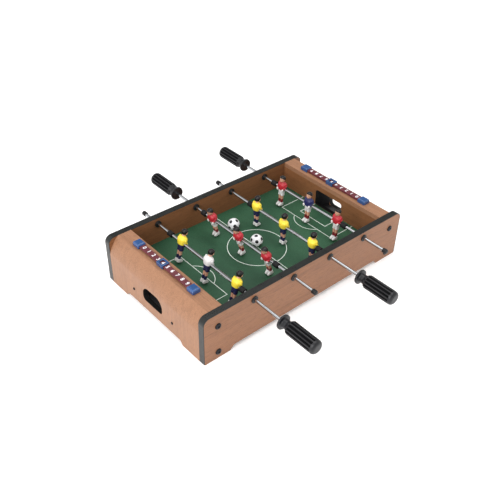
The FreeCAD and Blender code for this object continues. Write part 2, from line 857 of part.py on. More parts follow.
def turned(body, profile):
    """A solid of revolution about the body's Y axis from (radius, y) corners."""
    sketch = new_sketch(body, "XY_Plane")
    outline(sketch, profile)
    feature = body.newObject("PartDesign::Revolution", f"{body.Name}_revolution")
    feature.Profile = sketch
    axis = next(f for f in body.Origin.OriginFeatures if f.Role == "Y_Axis")
    feature.ReferenceAxis = (axis, [""])
    feature.Angle = 360
    doc.recompute()
    return feature


def handle(number, rod):
    """Plastic grip with a flange, a neck and long flutes, blind bored for the rod."""
    body = new_body(f"handle_{number}")
    rim = "handle_flange_diameter / 2"
    turned(body, [
        ("0", "0"),
        (f"{rim} - handle_flange_edge", "0"),
        (rim, "handle_flange_edge"),
        (rim, "handle_flange_thickness - handle_flange_edge"),
        (f"{rim} - handle_flange_edge", "handle_flange_thickness"),
        ("handle_neck_diameter / 2", "handle_flange_thickness + handle_flange_draft"),
        ("handle_neck_diameter / 2", "handle_neck_end"),
        ("grip_diameter / 2 - handle_shoulder_edge", "handle_shoulder_end - handle_shoulder_edge"),
        ("grip_diameter / 2", "handle_shoulder_end"),
        ("grip_diameter / 2", "grip_end"),
        ("grip_nose_diameter / 2", "handle_length - grip_nose_edge"),
        ("grip_nose_diameter / 2 - grip_nose_edge", "handle_length"),
        ("0", "handle_length"),
    ])
    flutes = new_sketch(body, "XZ_Plane", "0 - flute_end")
    circles(flutes, "flute_diameter", [("grip_diameter / 2 + flute_lift", "0")])
    flute = pocket(body, flutes, "flute_end - flute_start", reversed_way=True)
    around = body.newObject("PartDesign::PolarPattern", f"{body.Name}_flutes")
    around.Originals = [flute]
    axis = next(f for f in body.Origin.OriginFeatures if f.Role == "Y_Axis")
    around.Axis = (axis, [""])
    around.Angle = 360
    set_sizes(around, Occurrences="flute_count")
    body.Tip = around
    doc.recompute()
    socket = new_sketch(body, "XZ_Plane")
    circles(socket, "rod_diameter", [("0", "0")])
    pocket(body, socket, "handle_socket")
    place_at_rod_end(body, rod, rod["handle"], "handle_distance")


def end_cap(number, rod):
    """Plastic cap pushed on the rod's free end."""
    body = new_body(f"end_cap_{number}")
    turned(body, [
        ("0", "0"),
        ("cap_diameter / 2 - cap_rim", "0"),
        ("cap_diameter / 2", "cap_rim"),
        ("cap_diameter / 2", "cap_length - cap_dome"),
        ("cap_diameter / 2 - cap_dome", "cap_length"),
        ("0", "cap_length"),
    ])
    socket = new_sketch(body, "XZ_Plane")
    circles(socket, "rod_diameter", [("0", "0")])
    pocket(body, socket, "cap_grip")
    place_at_rod_end(body, rod, -rod["handle"], "cap_distance - cap_length / 2")


# ---------------------------------------------------------------- score counters and balls
def score_rail(end, sign):
    """T-shaped bar that carries the numbers."""
    body = new_body(f"score_rail_{end}")
    section = new_sketch(body, "XZ_Plane")
    outline(section, [
        ("0 - rail_base_width / 2", "0"),
        ("rail_base_width / 2", "0"),
        ("rail_base_width / 2", "rail_base_height"),
        ("rail_width / 2", "rail_base_height"),
        ("rail_width / 2", "rail_height"),
        ("0 - rail_width / 2", "rail_height"),
        ("0 - rail_width / 2", "rail_base_height"),
        ("0 - rail_base_width / 2", "rail_base_height"),
    ])
    pad(body, section, "2 * rail_half_length", midplane=True)
    place(body, x=f"{sign} * rail_offset_x", y="rail_offset_y", z="cabinet_height")


def score_marker(end, sign):
    """Slider that hooks round the rail, with a window over the number it marks."""
    body = new_body(f"score_marker_{end}")
    section = new_sketch(body, "XZ_Plane")
    outline(section, box_corners(
        "0 - marker_width / 2", "marker_width / 2", "marker_gap", "marker_height",
    ))
    pad(body, section, "marker_length", midplane=True)
    channel = new_sketch(body, "XZ_Plane")
    wide = "rail_width / 2 + marker_gap"
    slot = f"{wide} - marker_lip"
    outline(channel, [
        (f"0 - ({slot})", "marker_gap"),
        (slot, "marker_gap"),
        (slot, "rail_base_height - marker_gap"),
        (wide, "rail_base_height - marker_gap"),
        (wide, "rail_height + marker_gap"),
        (f"0 - ({wide})", "rail_height + marker_gap"),
        (f"0 - ({wide})", "rail_base_height - marker_gap"),
        (f"0 - ({slot})", "rail_base_height - marker_gap"),
    ])
    pocket(body, channel, "marker_length", midplane=True)
    window = new_sketch(body, "XY_Plane")
    outline(window, box_corners(
        "0 - marker_window_width / 2", "marker_window_width / 2",
        "0 - marker_window_length / 2", "marker_window_length / 2",
    ))
    pocket(body, window, "marker_height", reversed_way=True)
    y = f"rail_offset_y + score_pitch * (4.5 - {MARKED_SCORE})"
    place(body, x=f"{sign} * rail_offset_x", y=y, z="cabinet_height")


def score_stops():
    """Blocks at both ends of each rail."""
    stops = []
    for end, end_sign in (("left", -1), ("right", 1)):
        for sign in (-1, 1):
            block = primitive(
                "Box", f"stop_{end}_{sign + 1}_block",
                Length="stop_width", Width="stop_length", Height="stop_height",
            )
            y = "rail_half_length" if sign > 0 else "0 - rail_half_length - stop_length"
            y = f"rail_offset_y + {y}"
            place(block, f"{end_sign} * rail_offset_x - stop_width / 2", y, "cabinet_height")
            doc.recompute()
            bevel = doc.addObject("Part::Chamfer", f"stop_{end}_{sign + 1}")
            bevel.Base = block
            width = size("stop_chamfer")
            top = size("cabinet_height + stop_height")
            bevel.Edges = [
                (i, width, width)
                for i, edge in enumerate(block.Shape.Edges, 1)
                if min(v.Z for v in edge.Vertexes) > top - 0.01
            ]
            stops.append(bevel)
    group("score_stops", stops)


def ball(name, y):
    sphere = keep(primitive("Sphere", name, Radius="ball_diameter / 2"), name)
    place(sphere, "ball_x", str(y), "field_top + ball_diameter / 2 + ball_gap")


# ---------------------------------------------------------------- assembly
def build():
    fill_sheet()
    for side, turn in SIDES.items():
        side_panel(side, turn)
        edge_band(side)
        panel_bolts(side)
        rod_bushings(side)
    for end, turn in ENDS.items():
        end_wall(end, turn)
        end_top(end, turn)
        goal_wall(end, turn)
        goal_chute(end, turn)
        sign = 1 if end == "right" else -1
        score_rail(end, sign)
        score_marker(end, sign)
    playing_field()
    corner_blocks()
    threaded_inserts()
    chute_screws()
    bushing_nuts()
    score_stops()
    figure = player_shape()
    for number, rod in enumerate(RODS, 1):
        steel_rod(number, rod)
        handle(number, rod)
        end_cap(number, rod)
        players(number, rod, figure)
        player_pins(number, rod)
        bumpers(number, rod)
    for name, y in BALL_PLACES.items():
        ball(name, y)
    doc.recompute()


def check():
    failed = [o.Label for o in doc.Objects if {"Invalid", "Error"} & set(o.State)]
    if failed:
        raise RuntimeError(f"these objects failed: {failed}")
    for node in nodes:
        if node.Shape.isNull() or not node.Shape.isValid() or not node.Shape.Solids:
            raise RuntimeError(f"{node.Label} has no valid solid")


def write():
    os.makedirs("parts", exist_ok=True)
    for node in nodes:
        node.Shape.exportStep(f"parts/{node.Label}.step")


build()
check()
write()
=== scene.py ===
"""The looks of a mini tabletop foosball table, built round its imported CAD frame.

Metres, +X along the table, +Y along the rods, +Z up. Places come from the frame's own boxes. The
sizes below are those of the details that the CAD leaves out: sizes that end in MM are in metres,
while profiles, bolts and figures are drawn in plain millimetres and scaled where they are built.
"""

import json
import math

import bmesh
import bpy
from mathutils import Matrix, Vector

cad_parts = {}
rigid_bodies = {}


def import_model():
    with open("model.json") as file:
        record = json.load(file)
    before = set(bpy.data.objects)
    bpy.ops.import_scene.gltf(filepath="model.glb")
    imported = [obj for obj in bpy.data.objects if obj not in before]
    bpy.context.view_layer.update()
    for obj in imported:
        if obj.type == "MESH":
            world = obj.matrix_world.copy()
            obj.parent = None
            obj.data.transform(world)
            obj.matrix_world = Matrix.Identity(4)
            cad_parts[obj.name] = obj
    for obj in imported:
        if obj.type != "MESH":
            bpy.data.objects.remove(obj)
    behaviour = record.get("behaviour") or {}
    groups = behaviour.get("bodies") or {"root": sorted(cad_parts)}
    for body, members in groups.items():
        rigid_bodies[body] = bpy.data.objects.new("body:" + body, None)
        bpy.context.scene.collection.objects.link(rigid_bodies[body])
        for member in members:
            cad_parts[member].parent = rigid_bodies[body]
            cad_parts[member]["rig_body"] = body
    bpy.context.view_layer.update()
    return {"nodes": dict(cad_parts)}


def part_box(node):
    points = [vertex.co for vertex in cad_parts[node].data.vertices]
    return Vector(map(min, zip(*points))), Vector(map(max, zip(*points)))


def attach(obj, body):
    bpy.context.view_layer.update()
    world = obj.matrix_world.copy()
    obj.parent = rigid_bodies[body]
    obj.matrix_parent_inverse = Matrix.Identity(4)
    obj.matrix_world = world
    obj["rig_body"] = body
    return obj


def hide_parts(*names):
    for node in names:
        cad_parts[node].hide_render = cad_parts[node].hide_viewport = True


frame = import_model()

MM = 0.001
RODS = (1, 2, 3, 4)
SPOTS = ("front", "middle", "rear")
SIDES = {"front": -1, "rear": 1}
ENDS = {"left": -1, "right": 1}


def middle(node):
    low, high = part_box(node)
    return (low + high) / 2


FIELD_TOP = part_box("playing_field")[1].z
ROD_HEIGHT = middle("rod_1").z
ROD_X = {number: middle(f"rod_{number}").x for number in RODS}
PANEL_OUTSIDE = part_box("side_panel_rear")[1].y
PANEL_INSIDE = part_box("edge_band_rear")[0].y


# ---------------------------------------------------------------- materials
class Shader:
    """A procedural material, wired up call by call."""

    def __init__(self, name, **sockets):
        self.material = bpy.data.materials.new(name)
        self.material.use_nodes = True
        self.tree = self.material.node_tree
        self.surface = self.tree.nodes["Principled BSDF"]
        for socket, value in sockets.items():
            self.surface.inputs[socket.replace("_", " ")].default_value = value
        self.place = self.add("ShaderNodeTexCoord").outputs["Object"]

    def add(self, kind, inputs=None, **settings):
        node = self.tree.nodes.new(kind)
        for key, value in settings.items():
            setattr(node, key, value)
        for key, value in (inputs or {}).items():
            if isinstance(value, bpy.types.NodeSocket):
                self.tree.links.new(value, node.inputs[key])
            else:
                node.inputs[key].default_value = value
        return node

    def noise(self, stretch, detail, distortion=0.0):
        """Noise with so many waves per metre along each axis."""
        where = self.add("ShaderNodeMapping", {"Vector": self.place, "Scale": stretch}).outputs[0]
        inputs = {"Vector": where, "Scale": 1.0, "Detail": detail, "Distortion": distortion}
        return self.add("ShaderNodeTexNoise", inputs).outputs["Fac"]

    def ramp(self, factor, *stops):
        """Colours through (position, colour) stops."""
        node = self.add("ShaderNodeValToRGB", {"Fac": factor})
        elements = node.color_ramp.elements
        while len(elements) < len(stops):
            elements.new(0.5)
        for element, (position, colour) in zip(elements, stops):
            element.position = position
            element.color = (*colour, 1.0)
        return node.outputs["Color"]

    def steps(self, value, low, high, low_out, high_out):
        """Maps low to high onto low_out to high_out."""
        inputs = {
            "Value": value, "From Min": low, "From Max": high,
            "To Min": low_out, "To Max": high_out,
        }
        return self.add("ShaderNodeMapRange", inputs).outputs["Result"]

    def mix(self, factor, a, b):
        a, b = (c if isinstance(c, bpy.types.NodeSocket) else (*c, 1.0) for c in (a, b))
        inputs = {0: factor, 6: a, 7: b}
        return self.add("ShaderNodeMix", inputs, data_type="RGBA").outputs[2]

    def math(self, operation, a, b=0.0):
        return self.add("ShaderNodeMath", {0: a, 1: b}, operation=operation).outputs[0]

    def away_from_middle(self, axis):
        split = self.add("ShaderNodeSeparateXYZ", {"Vector": self.place})
        return self.math("ABSOLUTE", split.outputs[axis])

    def done(self, colour, roughness, height, depth, strength):
        """Links up the surface, with the height as a bump of the given depth."""
        inputs = {"Height": height, "Distance": depth, "Strength": strength}
        bump = self.add("ShaderNodeBump", inputs).outputs[0]
        wanted = {"Base Color": colour, "Roughness": roughness, "Normal": bump}
        for socket, value in wanted.items():
            self.tree.links.new(value, self.surface.inputs[socket])
        return self.material


def shade(colour, factor):
    """A colour made lighter or darker."""
    return tuple(min(1.0, c * factor) for c in colour)


def grain_stretch(along, long_way, across):
    """Waves per metre for a noise that runs along one axis."""
    return tuple(long_way if axis == along else across for axis in range(3))


def veneer(name, colour, along, inner_colour_and_shade=None, inner_limit=0.0):
    """Printed wood veneer with its grain along an axis.

    It may have another, darker tone inside the cabinet, nearer than inner_limit to the middle in
    Y: partly the wood's own tone, partly painted shade.
    """
    shader = Shader(name, IOR=1.45, Specular_IOR_Level=0.3, Coat_Weight=0.05, Coat_Roughness=0.3)
    figure = shader.noise(grain_stretch(along, 5.0, 85.0), 4.0, 1.1)
    fine = shader.noise(grain_stretch(along, 26.0, 900.0), 3.0, 0.3)
    pores = shader.noise(grain_stretch(along, 90.0, 1500.0), 2.0)
    cloud = shader.noise((9.0, 9.0, 9.0), 2.0)

    def toned(base):
        tone = shader.ramp(
            figure, (0.25, shade(base, 0.66)), (0.45, shade(base, 0.98)),
            (0.60, shade(base, 1.12)), (0.80, shade(base, 0.82)),
        )
        streaks = shader.ramp(fine, (0.3, shade(base, 0.66)), (0.7, shade(base, 1.26)))
        tone = shader.mix(0.55, tone, streaks)
        return shader.mix(shader.steps(cloud, 0.35, 0.7, 0.0, 0.35), tone, shade(base, 0.9))

    tone = toned(colour)
    # The faces inside the cabinet get the darker tone: partly the wood's own colour, partly
    # painted shade
    if inner_colour_and_shade:
        inside = shader.math("LESS_THAN", shader.away_from_middle("Y"), inner_limit)
        tone = shader.mix(inside, tone, toned(inner_colour_and_shade))
    dark = shader.steps(pores, 0.56, 0.68, 0.0, 0.55)
    tone = shader.mix(dark, tone, shade(colour, 0.35))
    rough = shader.steps(fine, 0.3, 0.7, 0.34, 0.50)
    height = shader.math("SUBTRACT", fine, dark)
    return shader.done(tone, rough, height, 0.05 * MM, 0.5)


def moulded(name, colour, roughness, texture, depth=0.03, strength=0.4, **sockets):
    """Plastic, rubber or paint: fine texture, slight blotches and uneven gloss.

    The texture has so many waves per metre, and is as deep as depth millimetres.
    """
    shader = Shader(name, **sockets)
    spread = 0.1
    blotch = shader.noise((60.0,) * 3, 3.0)
    fine = shader.noise((texture,) * 3, 2.0)
    scuff = shader.noise((130.0, 420.0, 130.0), 4.0, 0.8)
    tone = shader.ramp(blotch, (0.3, shade(colour, 1 - spread)), (0.7, shade(colour, 1 + spread)))
    worn = shader.steps(scuff, 0.64, 0.78, 0.0, 0.25)
    tone = shader.mix(worn, tone, shade(colour, 1.25))
    uneven = shader.math("ADD", blotch, fine)
    rough = shader.steps(uneven, 0.7, 1.3, roughness * 0.8, min(1.0, roughness * 1.25))
    return shader.done(tone, rough, fine, depth * MM, strength)


def raw_board(name, colour):
    """Unfinished wood fibre board: short chips in mixed tones."""
    shader = Shader(name)
    chips = shader.noise((240.0, 240.0, 520.0), 5.0, 0.4)
    tone = shader.ramp(chips, (0.3, shade(colour, 0.6)), (0.5, colour), (0.7, shade(colour, 1.25)))
    return shader.done(tone, shader.steps(chips, 0.3, 0.7, 0.8, 0.95), chips, 0.2 * MM, 0.8)


def printed_field(name):
    """Printed hardboard: deep green in broad soft patches, with a fine mottle and pale specks."""
    shader = Shader(name, Specular_IOR_Level=0.4)
    mottle = shader.noise((420.0, 420.0, 420.0), 4.0)
    patch = shader.noise((14.0, 9.0, 10.0), 3.0, 0.6)
    speck = shader.noise((1500.0, 1500.0, 1500.0), 1.0)
    tone = shader.ramp(patch, (0.30, GREEN_DARK), (0.5, GREEN), (0.70, GREEN_PALE))
    tone = shader.mix(shader.steps(mottle, 0.4, 0.65, 0.0, 0.35), tone, GREEN_DARK)
    tone = shader.mix(shader.steps(speck, 0.62, 0.7, 0.0, 0.3), tone, GREEN_PALE)
    return shader.done(tone, shader.steps(mottle, 0.3, 0.7, 0.42, 0.6), mottle, 0.03 * MM, 0.4)


def metal(name, colour, roughness, brushed):
    """Metal with fine drawing lines along the given axis and a little smudging."""
    shader = Shader(name, Metallic=1.0)
    lines = shader.noise(grain_stretch(brushed, 20.0, 2400.0), 2.0)
    smudge = shader.noise((55.0,) * 3, 3.0, 0.5)
    tone = shader.ramp(smudge, (0.3, shade(colour, 0.94)), (0.7, colour))
    uneven = shader.math("ADD", lines, smudge)
    rough = shader.steps(uneven, 0.7, 1.3, roughness * 0.6, roughness * 1.6)
    return shader.done(tone, rough, lines, 0.01 * MM, 0.25)


def floor_paper(name):
    """Matt white studio paper, which glows a little so that its shadows stay faint."""
    white = (1.0, 1.0, 1.0, 1.0)
    shader = Shader(name, Specular_IOR_Level=0.0, Emission_Color=white, Emission_Strength=0.16)
    fibre = shader.noise((30.0,) * 3, 3.0)
    tone = shader.ramp(fibre, (0.3, (0.955, 0.955, 0.955)), (0.7, (0.97, 0.97, 0.97)))
    return shader.done(tone, shader.steps(fibre, 0.3, 0.7, 0.8, 0.95), fibre, 0.05 * MM, 0.2)


GREEN_DARK = (0.013, 0.055, 0.027)
GREEN = (0.019, 0.078, 0.037)
GREEN_PALE = (0.028, 0.100, 0.048)
PALE_WOOD = (0.315, 0.158, 0.088)
PANEL_WOOD = (0.290, 0.132, 0.067)
# The inside faces' darker tone: partly the wood's own colour, partly painted shade for the
# cabinet's inside
INNER_WOOD_AND_SHADE = (0.215, 0.090, 0.037)
ALONG_X, ALONG_Y, ALONG_Z = 0, 1, 2

INNER_LIMIT = PANEL_INSIDE + 0.1 * MM
panel_veneer = veneer("panel_veneer", PANEL_WOOD, ALONG_X, INNER_WOOD_AND_SHADE, INNER_LIMIT)
end_veneer = veneer("end_veneer", PALE_WOOD, ALONG_Z)
top_veneer = veneer("top_veneer", PALE_WOOD, ALONG_Y)
# The goal walls take the inside tone, a little lighter: partly the wood's own colour, partly
# painted shade
inner_veneer = veneer("inner_veneer", shade(INNER_WOOD_AND_SHADE, 1.1), ALONG_Y)
board = raw_board("raw_board", (0.42, 0.29, 0.17))
field_print = printed_field("field_print")
floor_white = floor_paper("floor_white")

black_steel = metal("black_steel", (0.030, 0.030, 0.034), 0.35, ALONG_Z)
brass = metal("brass", (0.80, 0.55, 0.24), 0.25, ALONG_Y)
pin_steel = metal("pin_steel", (0.55, 0.55, 0.56), 0.3, ALONG_X)
chrome = metal("chrome", (0.52, 0.53, 0.55), 0.07, ALONG_Y)

# moulded: name, colour, roughness, texture, depth, strength
band_plastic = moulded(
    "band_plastic", (0.010, 0.011, 0.010), 0.32, 500.0, Specular_IOR_Level=0.4)
chute_plastic = moulded(
    "chute_plastic", (0.008, 0.008, 0.009), 0.5, 700.0, 0.05, Specular_IOR_Level=0.25)
lining_plastic = moulded(
    "lining_plastic", (0.006, 0.006, 0.006), 0.6, 700.0, 0.05, Specular_IOR_Level=0.2)
bushing_plastic = moulded(
    "bushing_plastic", (0.008, 0.008, 0.009), 0.38, 900.0, Specular_IOR_Level=0.35)
handle_plastic = moulded(
    "handle_plastic", (0.007, 0.007, 0.009), 0.32, 1500.0, 0.05, 0.6, Specular_IOR_Level=0.4)
# Near black with little reflection: painted shade for the faces down in the handles' flutes
groove_shade_plastic = moulded(
    "groove_shade_plastic", (0.0025, 0.0025, 0.003), 0.7, 1500.0, 0.06, 0.7, Specular_IOR_Level=0.08)
cap_plastic = moulded(
    "cap_plastic", (0.007, 0.007, 0.008), 0.35, 1200.0, Specular_IOR_Level=0.3)
rubber = moulded(
    "rubber", (0.007, 0.007, 0.008), 0.6, 1400.0, 0.05, Specular_IOR_Level=0.25)
rail_plastic = moulded("rail_plastic", (0.115, 0.022, 0.030), 0.35, 900.0)
stop_plastic = moulded(
    "stop_plastic", (0.015, 0.066, 0.205), 0.25, 700.0, 0.02, Coat_Weight=0.5)
marker_plastic = moulded(
    "marker_plastic", (0.020, 0.082, 0.24), 0.2, 700.0, 0.02,
    Coat_Weight=0.6, Transmission_Weight=0.25)
line_ink = moulded("line_ink", (0.70, 0.76, 0.70), 0.5, 500.0, 0.02)
digit_ink = moulded("digit_ink", (0.85, 0.84, 0.86), 0.45, 900.0, 0.01)
ball_white = moulded("ball_white", (0.83, 0.83, 0.85), 0.3, 1800.0, Coat_Weight=0.25)
ball_black = moulded("ball_black", (0.010, 0.010, 0.014), 0.3, 1800.0, Coat_Weight=0.25)
skin = moulded("figure_skin", (0.62, 0.33, 0.22), 0.42, 1400.0, 0.02)
hair = moulded(
    "figure_hair", (0.005, 0.004, 0.004), 0.3, 1100.0, 0.12, 1.0, Specular_IOR_Level=0.35)
eyes = moulded("figure_eyes", (0.020, 0.014, 0.012), 0.25, 900.0, 0.01)
boot = moulded("figure_boot", (0.68, 0.67, 0.66), 0.35, 1200.0)
glove = moulded("figure_glove", (0.72, 0.69, 0.67), 0.4, 1200.0)
CLOTH = {
    "red": (0.42, 0.014, 0.026),
    "dark_red": (0.20, 0.008, 0.014),
    "yellow": (0.85, 0.66, 0.045),
    "navy": (0.012, 0.013, 0.060),
    "blue": (0.012, 0.014, 0.088),
    "white": (0.70, 0.68, 0.68),
}
cloth = {
    name: moulded(f"cloth_{name}", tone, 0.4, 1300.0, 0.05, 0.6) for name, tone in CLOTH.items()
}


# ---------------------------------------------------------------- making pieces
CREASE = math.radians(32.0)
FLAT = math.radians(0.5)
WELD = 1e-6


def mark_creases(bm):
    """Smooth shading, with hard edges where the surface turns sharply."""
    for face in bm.faces:
        face.smooth = True
    for edge in bm.edges:
        edge.smooth = not edge.is_manifold or edge.calc_face_angle(0.0) < CREASE


def piece(name, bm, materials, body, stands_for=(), subdivide=0, bevel=None):
    """Turns a bmesh, in the frame's own coordinates at rest, into a piece that rides on a body."""
    bmesh.ops.recalc_face_normals(bm, faces=bm.faces)
    mark_creases(bm)
    mesh = bpy.data.meshes.new(name)
    bm.to_mesh(mesh)
    bm.free()
    for material in materials:
        mesh.materials.append(material)
    thing = bpy.data.objects.new(name, mesh)
    bpy.context.scene.collection.objects.link(thing)
    if bevel:
        modifier = thing.modifiers.new("edges", "BEVEL")
        modifier.width = bevel
        modifier.segments = 3
        modifier.limit_method = "ANGLE"
        modifier.use_clamp_overlap = False
        modifier.harden_normals = True
    if subdivide:
        modifier = thing.modifiers.new("smooth", "SUBSURF")
        modifier.levels = modifier.render_levels = subdivide
    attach(thing, body)
    if stands_for:
        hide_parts(*stands_for)
    return thing


def softened(node, material, bevel=0.35 * MM, lining=None):
    """A CAD node again, with its faces joined up and its edges slightly rounded.

    The faces through an opening within lining = (half width, bottom, top) are black.
    """
    source = frame["nodes"][node]
    bm = bmesh.new()
    bm.from_mesh(source.data)
    bmesh.ops.remove_doubles(bm, verts=bm.verts, dist=WELD)
    bmesh.ops.dissolve_limit(bm, angle_limit=FLAT, verts=bm.verts, edges=bm.edges)
    for face in bm.faces:
        face.material_index = 0
        centre = face.calc_center_median()
        if lining and abs(face.normal.x) < 0.5:
            half_width, low, high = lining
            face.material_index = int(abs(centre.y) < half_width and low < centre.z < high)
    materials = [material, lining_plastic] if lining else [material]
    return piece(f"{node}_finished", bm, materials, source["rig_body"], [node], bevel=bevel)


def join_rings(bm, rings, material=0, cap_first=True, cap_last=True):
    """Skins closed rings of points; each cap is a fan about the ring's middle."""
    loops = [[bm.verts.new(p) for p in ring] for ring in rings]
    count = len(loops[0])
    faces = []
    for below, above in zip(loops, loops[1:]):
        for i in range(count):
            j = (i + 1) % count
            faces.append(bm.faces.new((below[i], below[j], above[j], above[i])))
    for wanted, loop in ((cap_first, loops[0]), (cap_last, loops[-1])):
        if wanted:
            tip = bm.verts.new(sum((v.co for v in loop), Vector()) / count)
            faces += [bm.faces.new((loop[i], loop[(i + 1) % count], tip)) for i in range(count)]
    for face in faces:
        face.material_index = material
    return faces


def circle(radius, y, count, radius_at=None):
    """A ring about the Y axis; radius_at(angle) may change its radius round the way."""
    points = []
    for i in range(count):
        angle = 2 * math.pi * i / count
        r = radius_at(angle) if radius_at else radius
        points.append(Vector((r * math.cos(angle), y, r * math.sin(angle))))
    return points


def rounded(profile, radius, steps=4):
    """An (r, y) profile with every corner between its ends rounded by an arc-like curve."""
    points = [Vector(profile[0])]
    for before, corner, after in zip(profile, profile[1:], profile[2:]):
        corner = Vector(corner)
        sides = []
        for other in (before, after):
            way = Vector(other) - corner
            sides.append(corner + way.normalized() * min(radius, way.length * 0.45))
        for k in range(steps + 1):
            t = k / steps
            points.append(sides[0] * (1 - t) ** 2 + corner * 2 * t * (1 - t) + sides[1] * t * t)
    points.append(Vector(profile[-1]))
    return points


def lathe(bm, profile, where, sign=1, count=48, closed=False, radius_at=None):
    """Turns an (r, y) profile about a line along Y through where; y grows towards sign."""
    if closed:
        profile = list(profile) + [profile[0]]
    rings = []
    for r, y in profile:
        change = (lambda angle, r=r, y=y: radius_at(r, y, angle)) if radius_at else None
        rings.append([where + Vector((p.x, sign * p.y, p.z)) for p in circle(r, y, count, change)])
    faces = join_rings(bm, rings, 0, not closed, not closed)
    if closed:
        bmesh.ops.remove_doubles(bm, verts=bm.verts, dist=1e-7)
    return faces


def scaled(points):
    return [(a * MM, b * MM) for a, b in points]


# ---------------------------------------------------------------- cabinet
# The openings in the end walls: half width, bottom and top
EXIT_HOLE = (30.6 * MM, 29.4 * MM, 63.1 * MM)
GOAL_MOUTH = (38.1 * MM, 31.0 * MM, 83.6 * MM)


def cabinet():
    """Everything fixed that keeps the CAD's shape, and the two score markers."""
    for side in SIDES:
        softened(f"side_panel_{side}", panel_veneer, bevel=0.2 * MM)
        softened(f"edge_band_{side}", band_plastic)
    for end in ENDS:
        softened(f"end_wall_{end}", end_veneer, lining=EXIT_HOLE)
        softened(f"end_top_{end}", top_veneer, bevel=0.25 * MM)
        softened(
            f"goal_wall_{end}", inner_veneer, bevel=0.5 * MM, lining=GOAL_MOUTH,
        )
        softened(f"goal_chute_{end}", chute_plastic, bevel=0.25 * MM)
        softened(f"score_rail_{end}", rail_plastic, bevel=0.4 * MM)
        softened(f"score_marker_{end}", marker_plastic, bevel=0.7 * MM)
    softened("playing_field", field_print, bevel=0.15 * MM)
    softened("corner_blocks", board)
    softened("threaded_inserts", brass, bevel=0.15 * MM)
    softened("score_stops", stop_plastic, bevel=1.1 * MM)


BUSHING_BORE = 3.27
BUSHING_SLEEVE = 4.9
BUSHING_FLANGE = 7.25
RIBS = 16
RIB_HEIGHT = 0.35 * MM
RIB_FLOOR = 6.0 * MM


def ribbed(r, y, angle):
    """The inside rings' radius: shallow ribs all round their outer face."""
    rib = 0.5 + 0.5 * math.cos(RIBS * angle)
    return r - RIB_HEIGHT * rib if r > RIB_FLOOR else r


def bushings():
    """Flanged sleeves outside, and ribbed rings inside, at both ends of every rod."""
    for side, sign in SIDES.items():
        low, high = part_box(f"rod_bushings_{side}")
        length = (high.y - low.y) / MM
        outer_face = low.y if sign < 0 else high.y
        profile = rounded([
            (BUSHING_BORE, 0.6), (BUSHING_BORE + 0.6, 0.0), (5.2, 0.0), (5.6, 0.5),
            (BUSHING_FLANGE, 0.5), (BUSHING_FLANGE, 2.5), (BUSHING_SLEEVE, 2.5),
            (BUSHING_SLEEVE, length), (BUSHING_BORE, length),
        ], 0.45)
        bm = bmesh.new()
        for x in ROD_X.values():
            where = Vector((x, outer_face, ROD_HEIGHT))
            lathe(bm, scaled(profile), where, -sign, closed=True)
        piece(
            f"bushings_{side}", bm, [bushing_plastic], "cabinet",
            [f"rod_bushings_{side}"],
        )
    ring = rounded([
        (4.92, 0.0), (BUSHING_FLANGE, 0.0), (BUSHING_FLANGE, 3.0), (4.92, 3.0),
    ], 0.5)
    bm = bmesh.new()
    for sign in SIDES.values():
        for x in ROD_X.values():
            where = Vector((x, sign * PANEL_INSIDE, ROD_HEIGHT))
            lathe(bm, scaled(ring), where, -sign, 96, True, radius_at=ribbed)
    materials = [bushing_plastic]
    piece("bushing_rings", bm, materials, "cabinet", ["bushing_nuts"])


BOLT_HEAD = 6.25
BOLT_HEAD_HEIGHT = 2.6
BOLT_SHANK = 2.4
SOCKET_ACROSS = 4.0
SOCKET_FLOOR = 0.8
SCREW_HEAD = 3.0
SCREW_HEAD_HEIGHT = 1.6


def hexagon(across_flats):
    """The radius of a hexagon at an angle, for circle()."""
    def radius(angle):
        turn = (angle % (math.pi / 3)) - math.pi / 6
        return across_flats / 2 / math.cos(turn)
    return radius


def panel_bolt(bm, where, sign, length):
    """A round-headed bolt along Y with a hex socket, its head towards sign."""
    def ring(r, y, shape=None):
        points = circle(r * MM, y * MM, 48, shape)
        return [where + Vector((p.x, sign * p.y, p.z)) for p in points]

    socket = hexagon(SOCKET_ACROSS * MM)
    dome = [
        (2.9, BOLT_HEAD_HEIGHT), (4.4, 2.5), (5.5, 2.1), (6.1, 1.4),
        (BOLT_HEAD, 0.6), (BOLT_HEAD, 0.0), (BOLT_SHANK, 0.0),
    ]
    rings = [ring(0, SOCKET_FLOOR, socket), ring(0, BOLT_HEAD_HEIGHT, socket)]
    rings += [ring(r, y) for r, y in dome]
    rings += [ring(BOLT_SHANK, 0.6 - length), ring(BOLT_SHANK - 0.5, -length)]
    join_rings(bm, rings)


def bolts():
    """The panel bolts, and the chute's small cross-head screws."""
    for side, sign in SIDES.items():
        low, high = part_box(f"panel_bolts_{side}")
        length = (high.y - low.y) / MM - BOLT_HEAD_HEIGHT
        bm = bmesh.new()
        for x in (low.x + BOLT_HEAD * MM, high.x - BOLT_HEAD * MM):
            for z in (low.z + BOLT_HEAD * MM, high.z - BOLT_HEAD * MM):
                panel_bolt(bm, Vector((x, sign * PANEL_OUTSIDE, z)), sign, length)
        node = f"panel_bolts_{side}"
        piece(f"bolts_{side}", bm, [black_steel], "cabinet", [node])
    low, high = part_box("chute_screws")
    bm = bmesh.new()
    for sign in ENDS.values():
        for y in (low.y + SCREW_HEAD * MM, high.y - SCREW_HEAD * MM):
            x = sign * (high.x - SCREW_HEAD_HEIGHT * MM)
            cross_head(bm, Vector((x, y, (low.z + high.z) / 2)), sign)
    piece("small_screws", bm, [black_steel], "cabinet", ["chute_screws"])


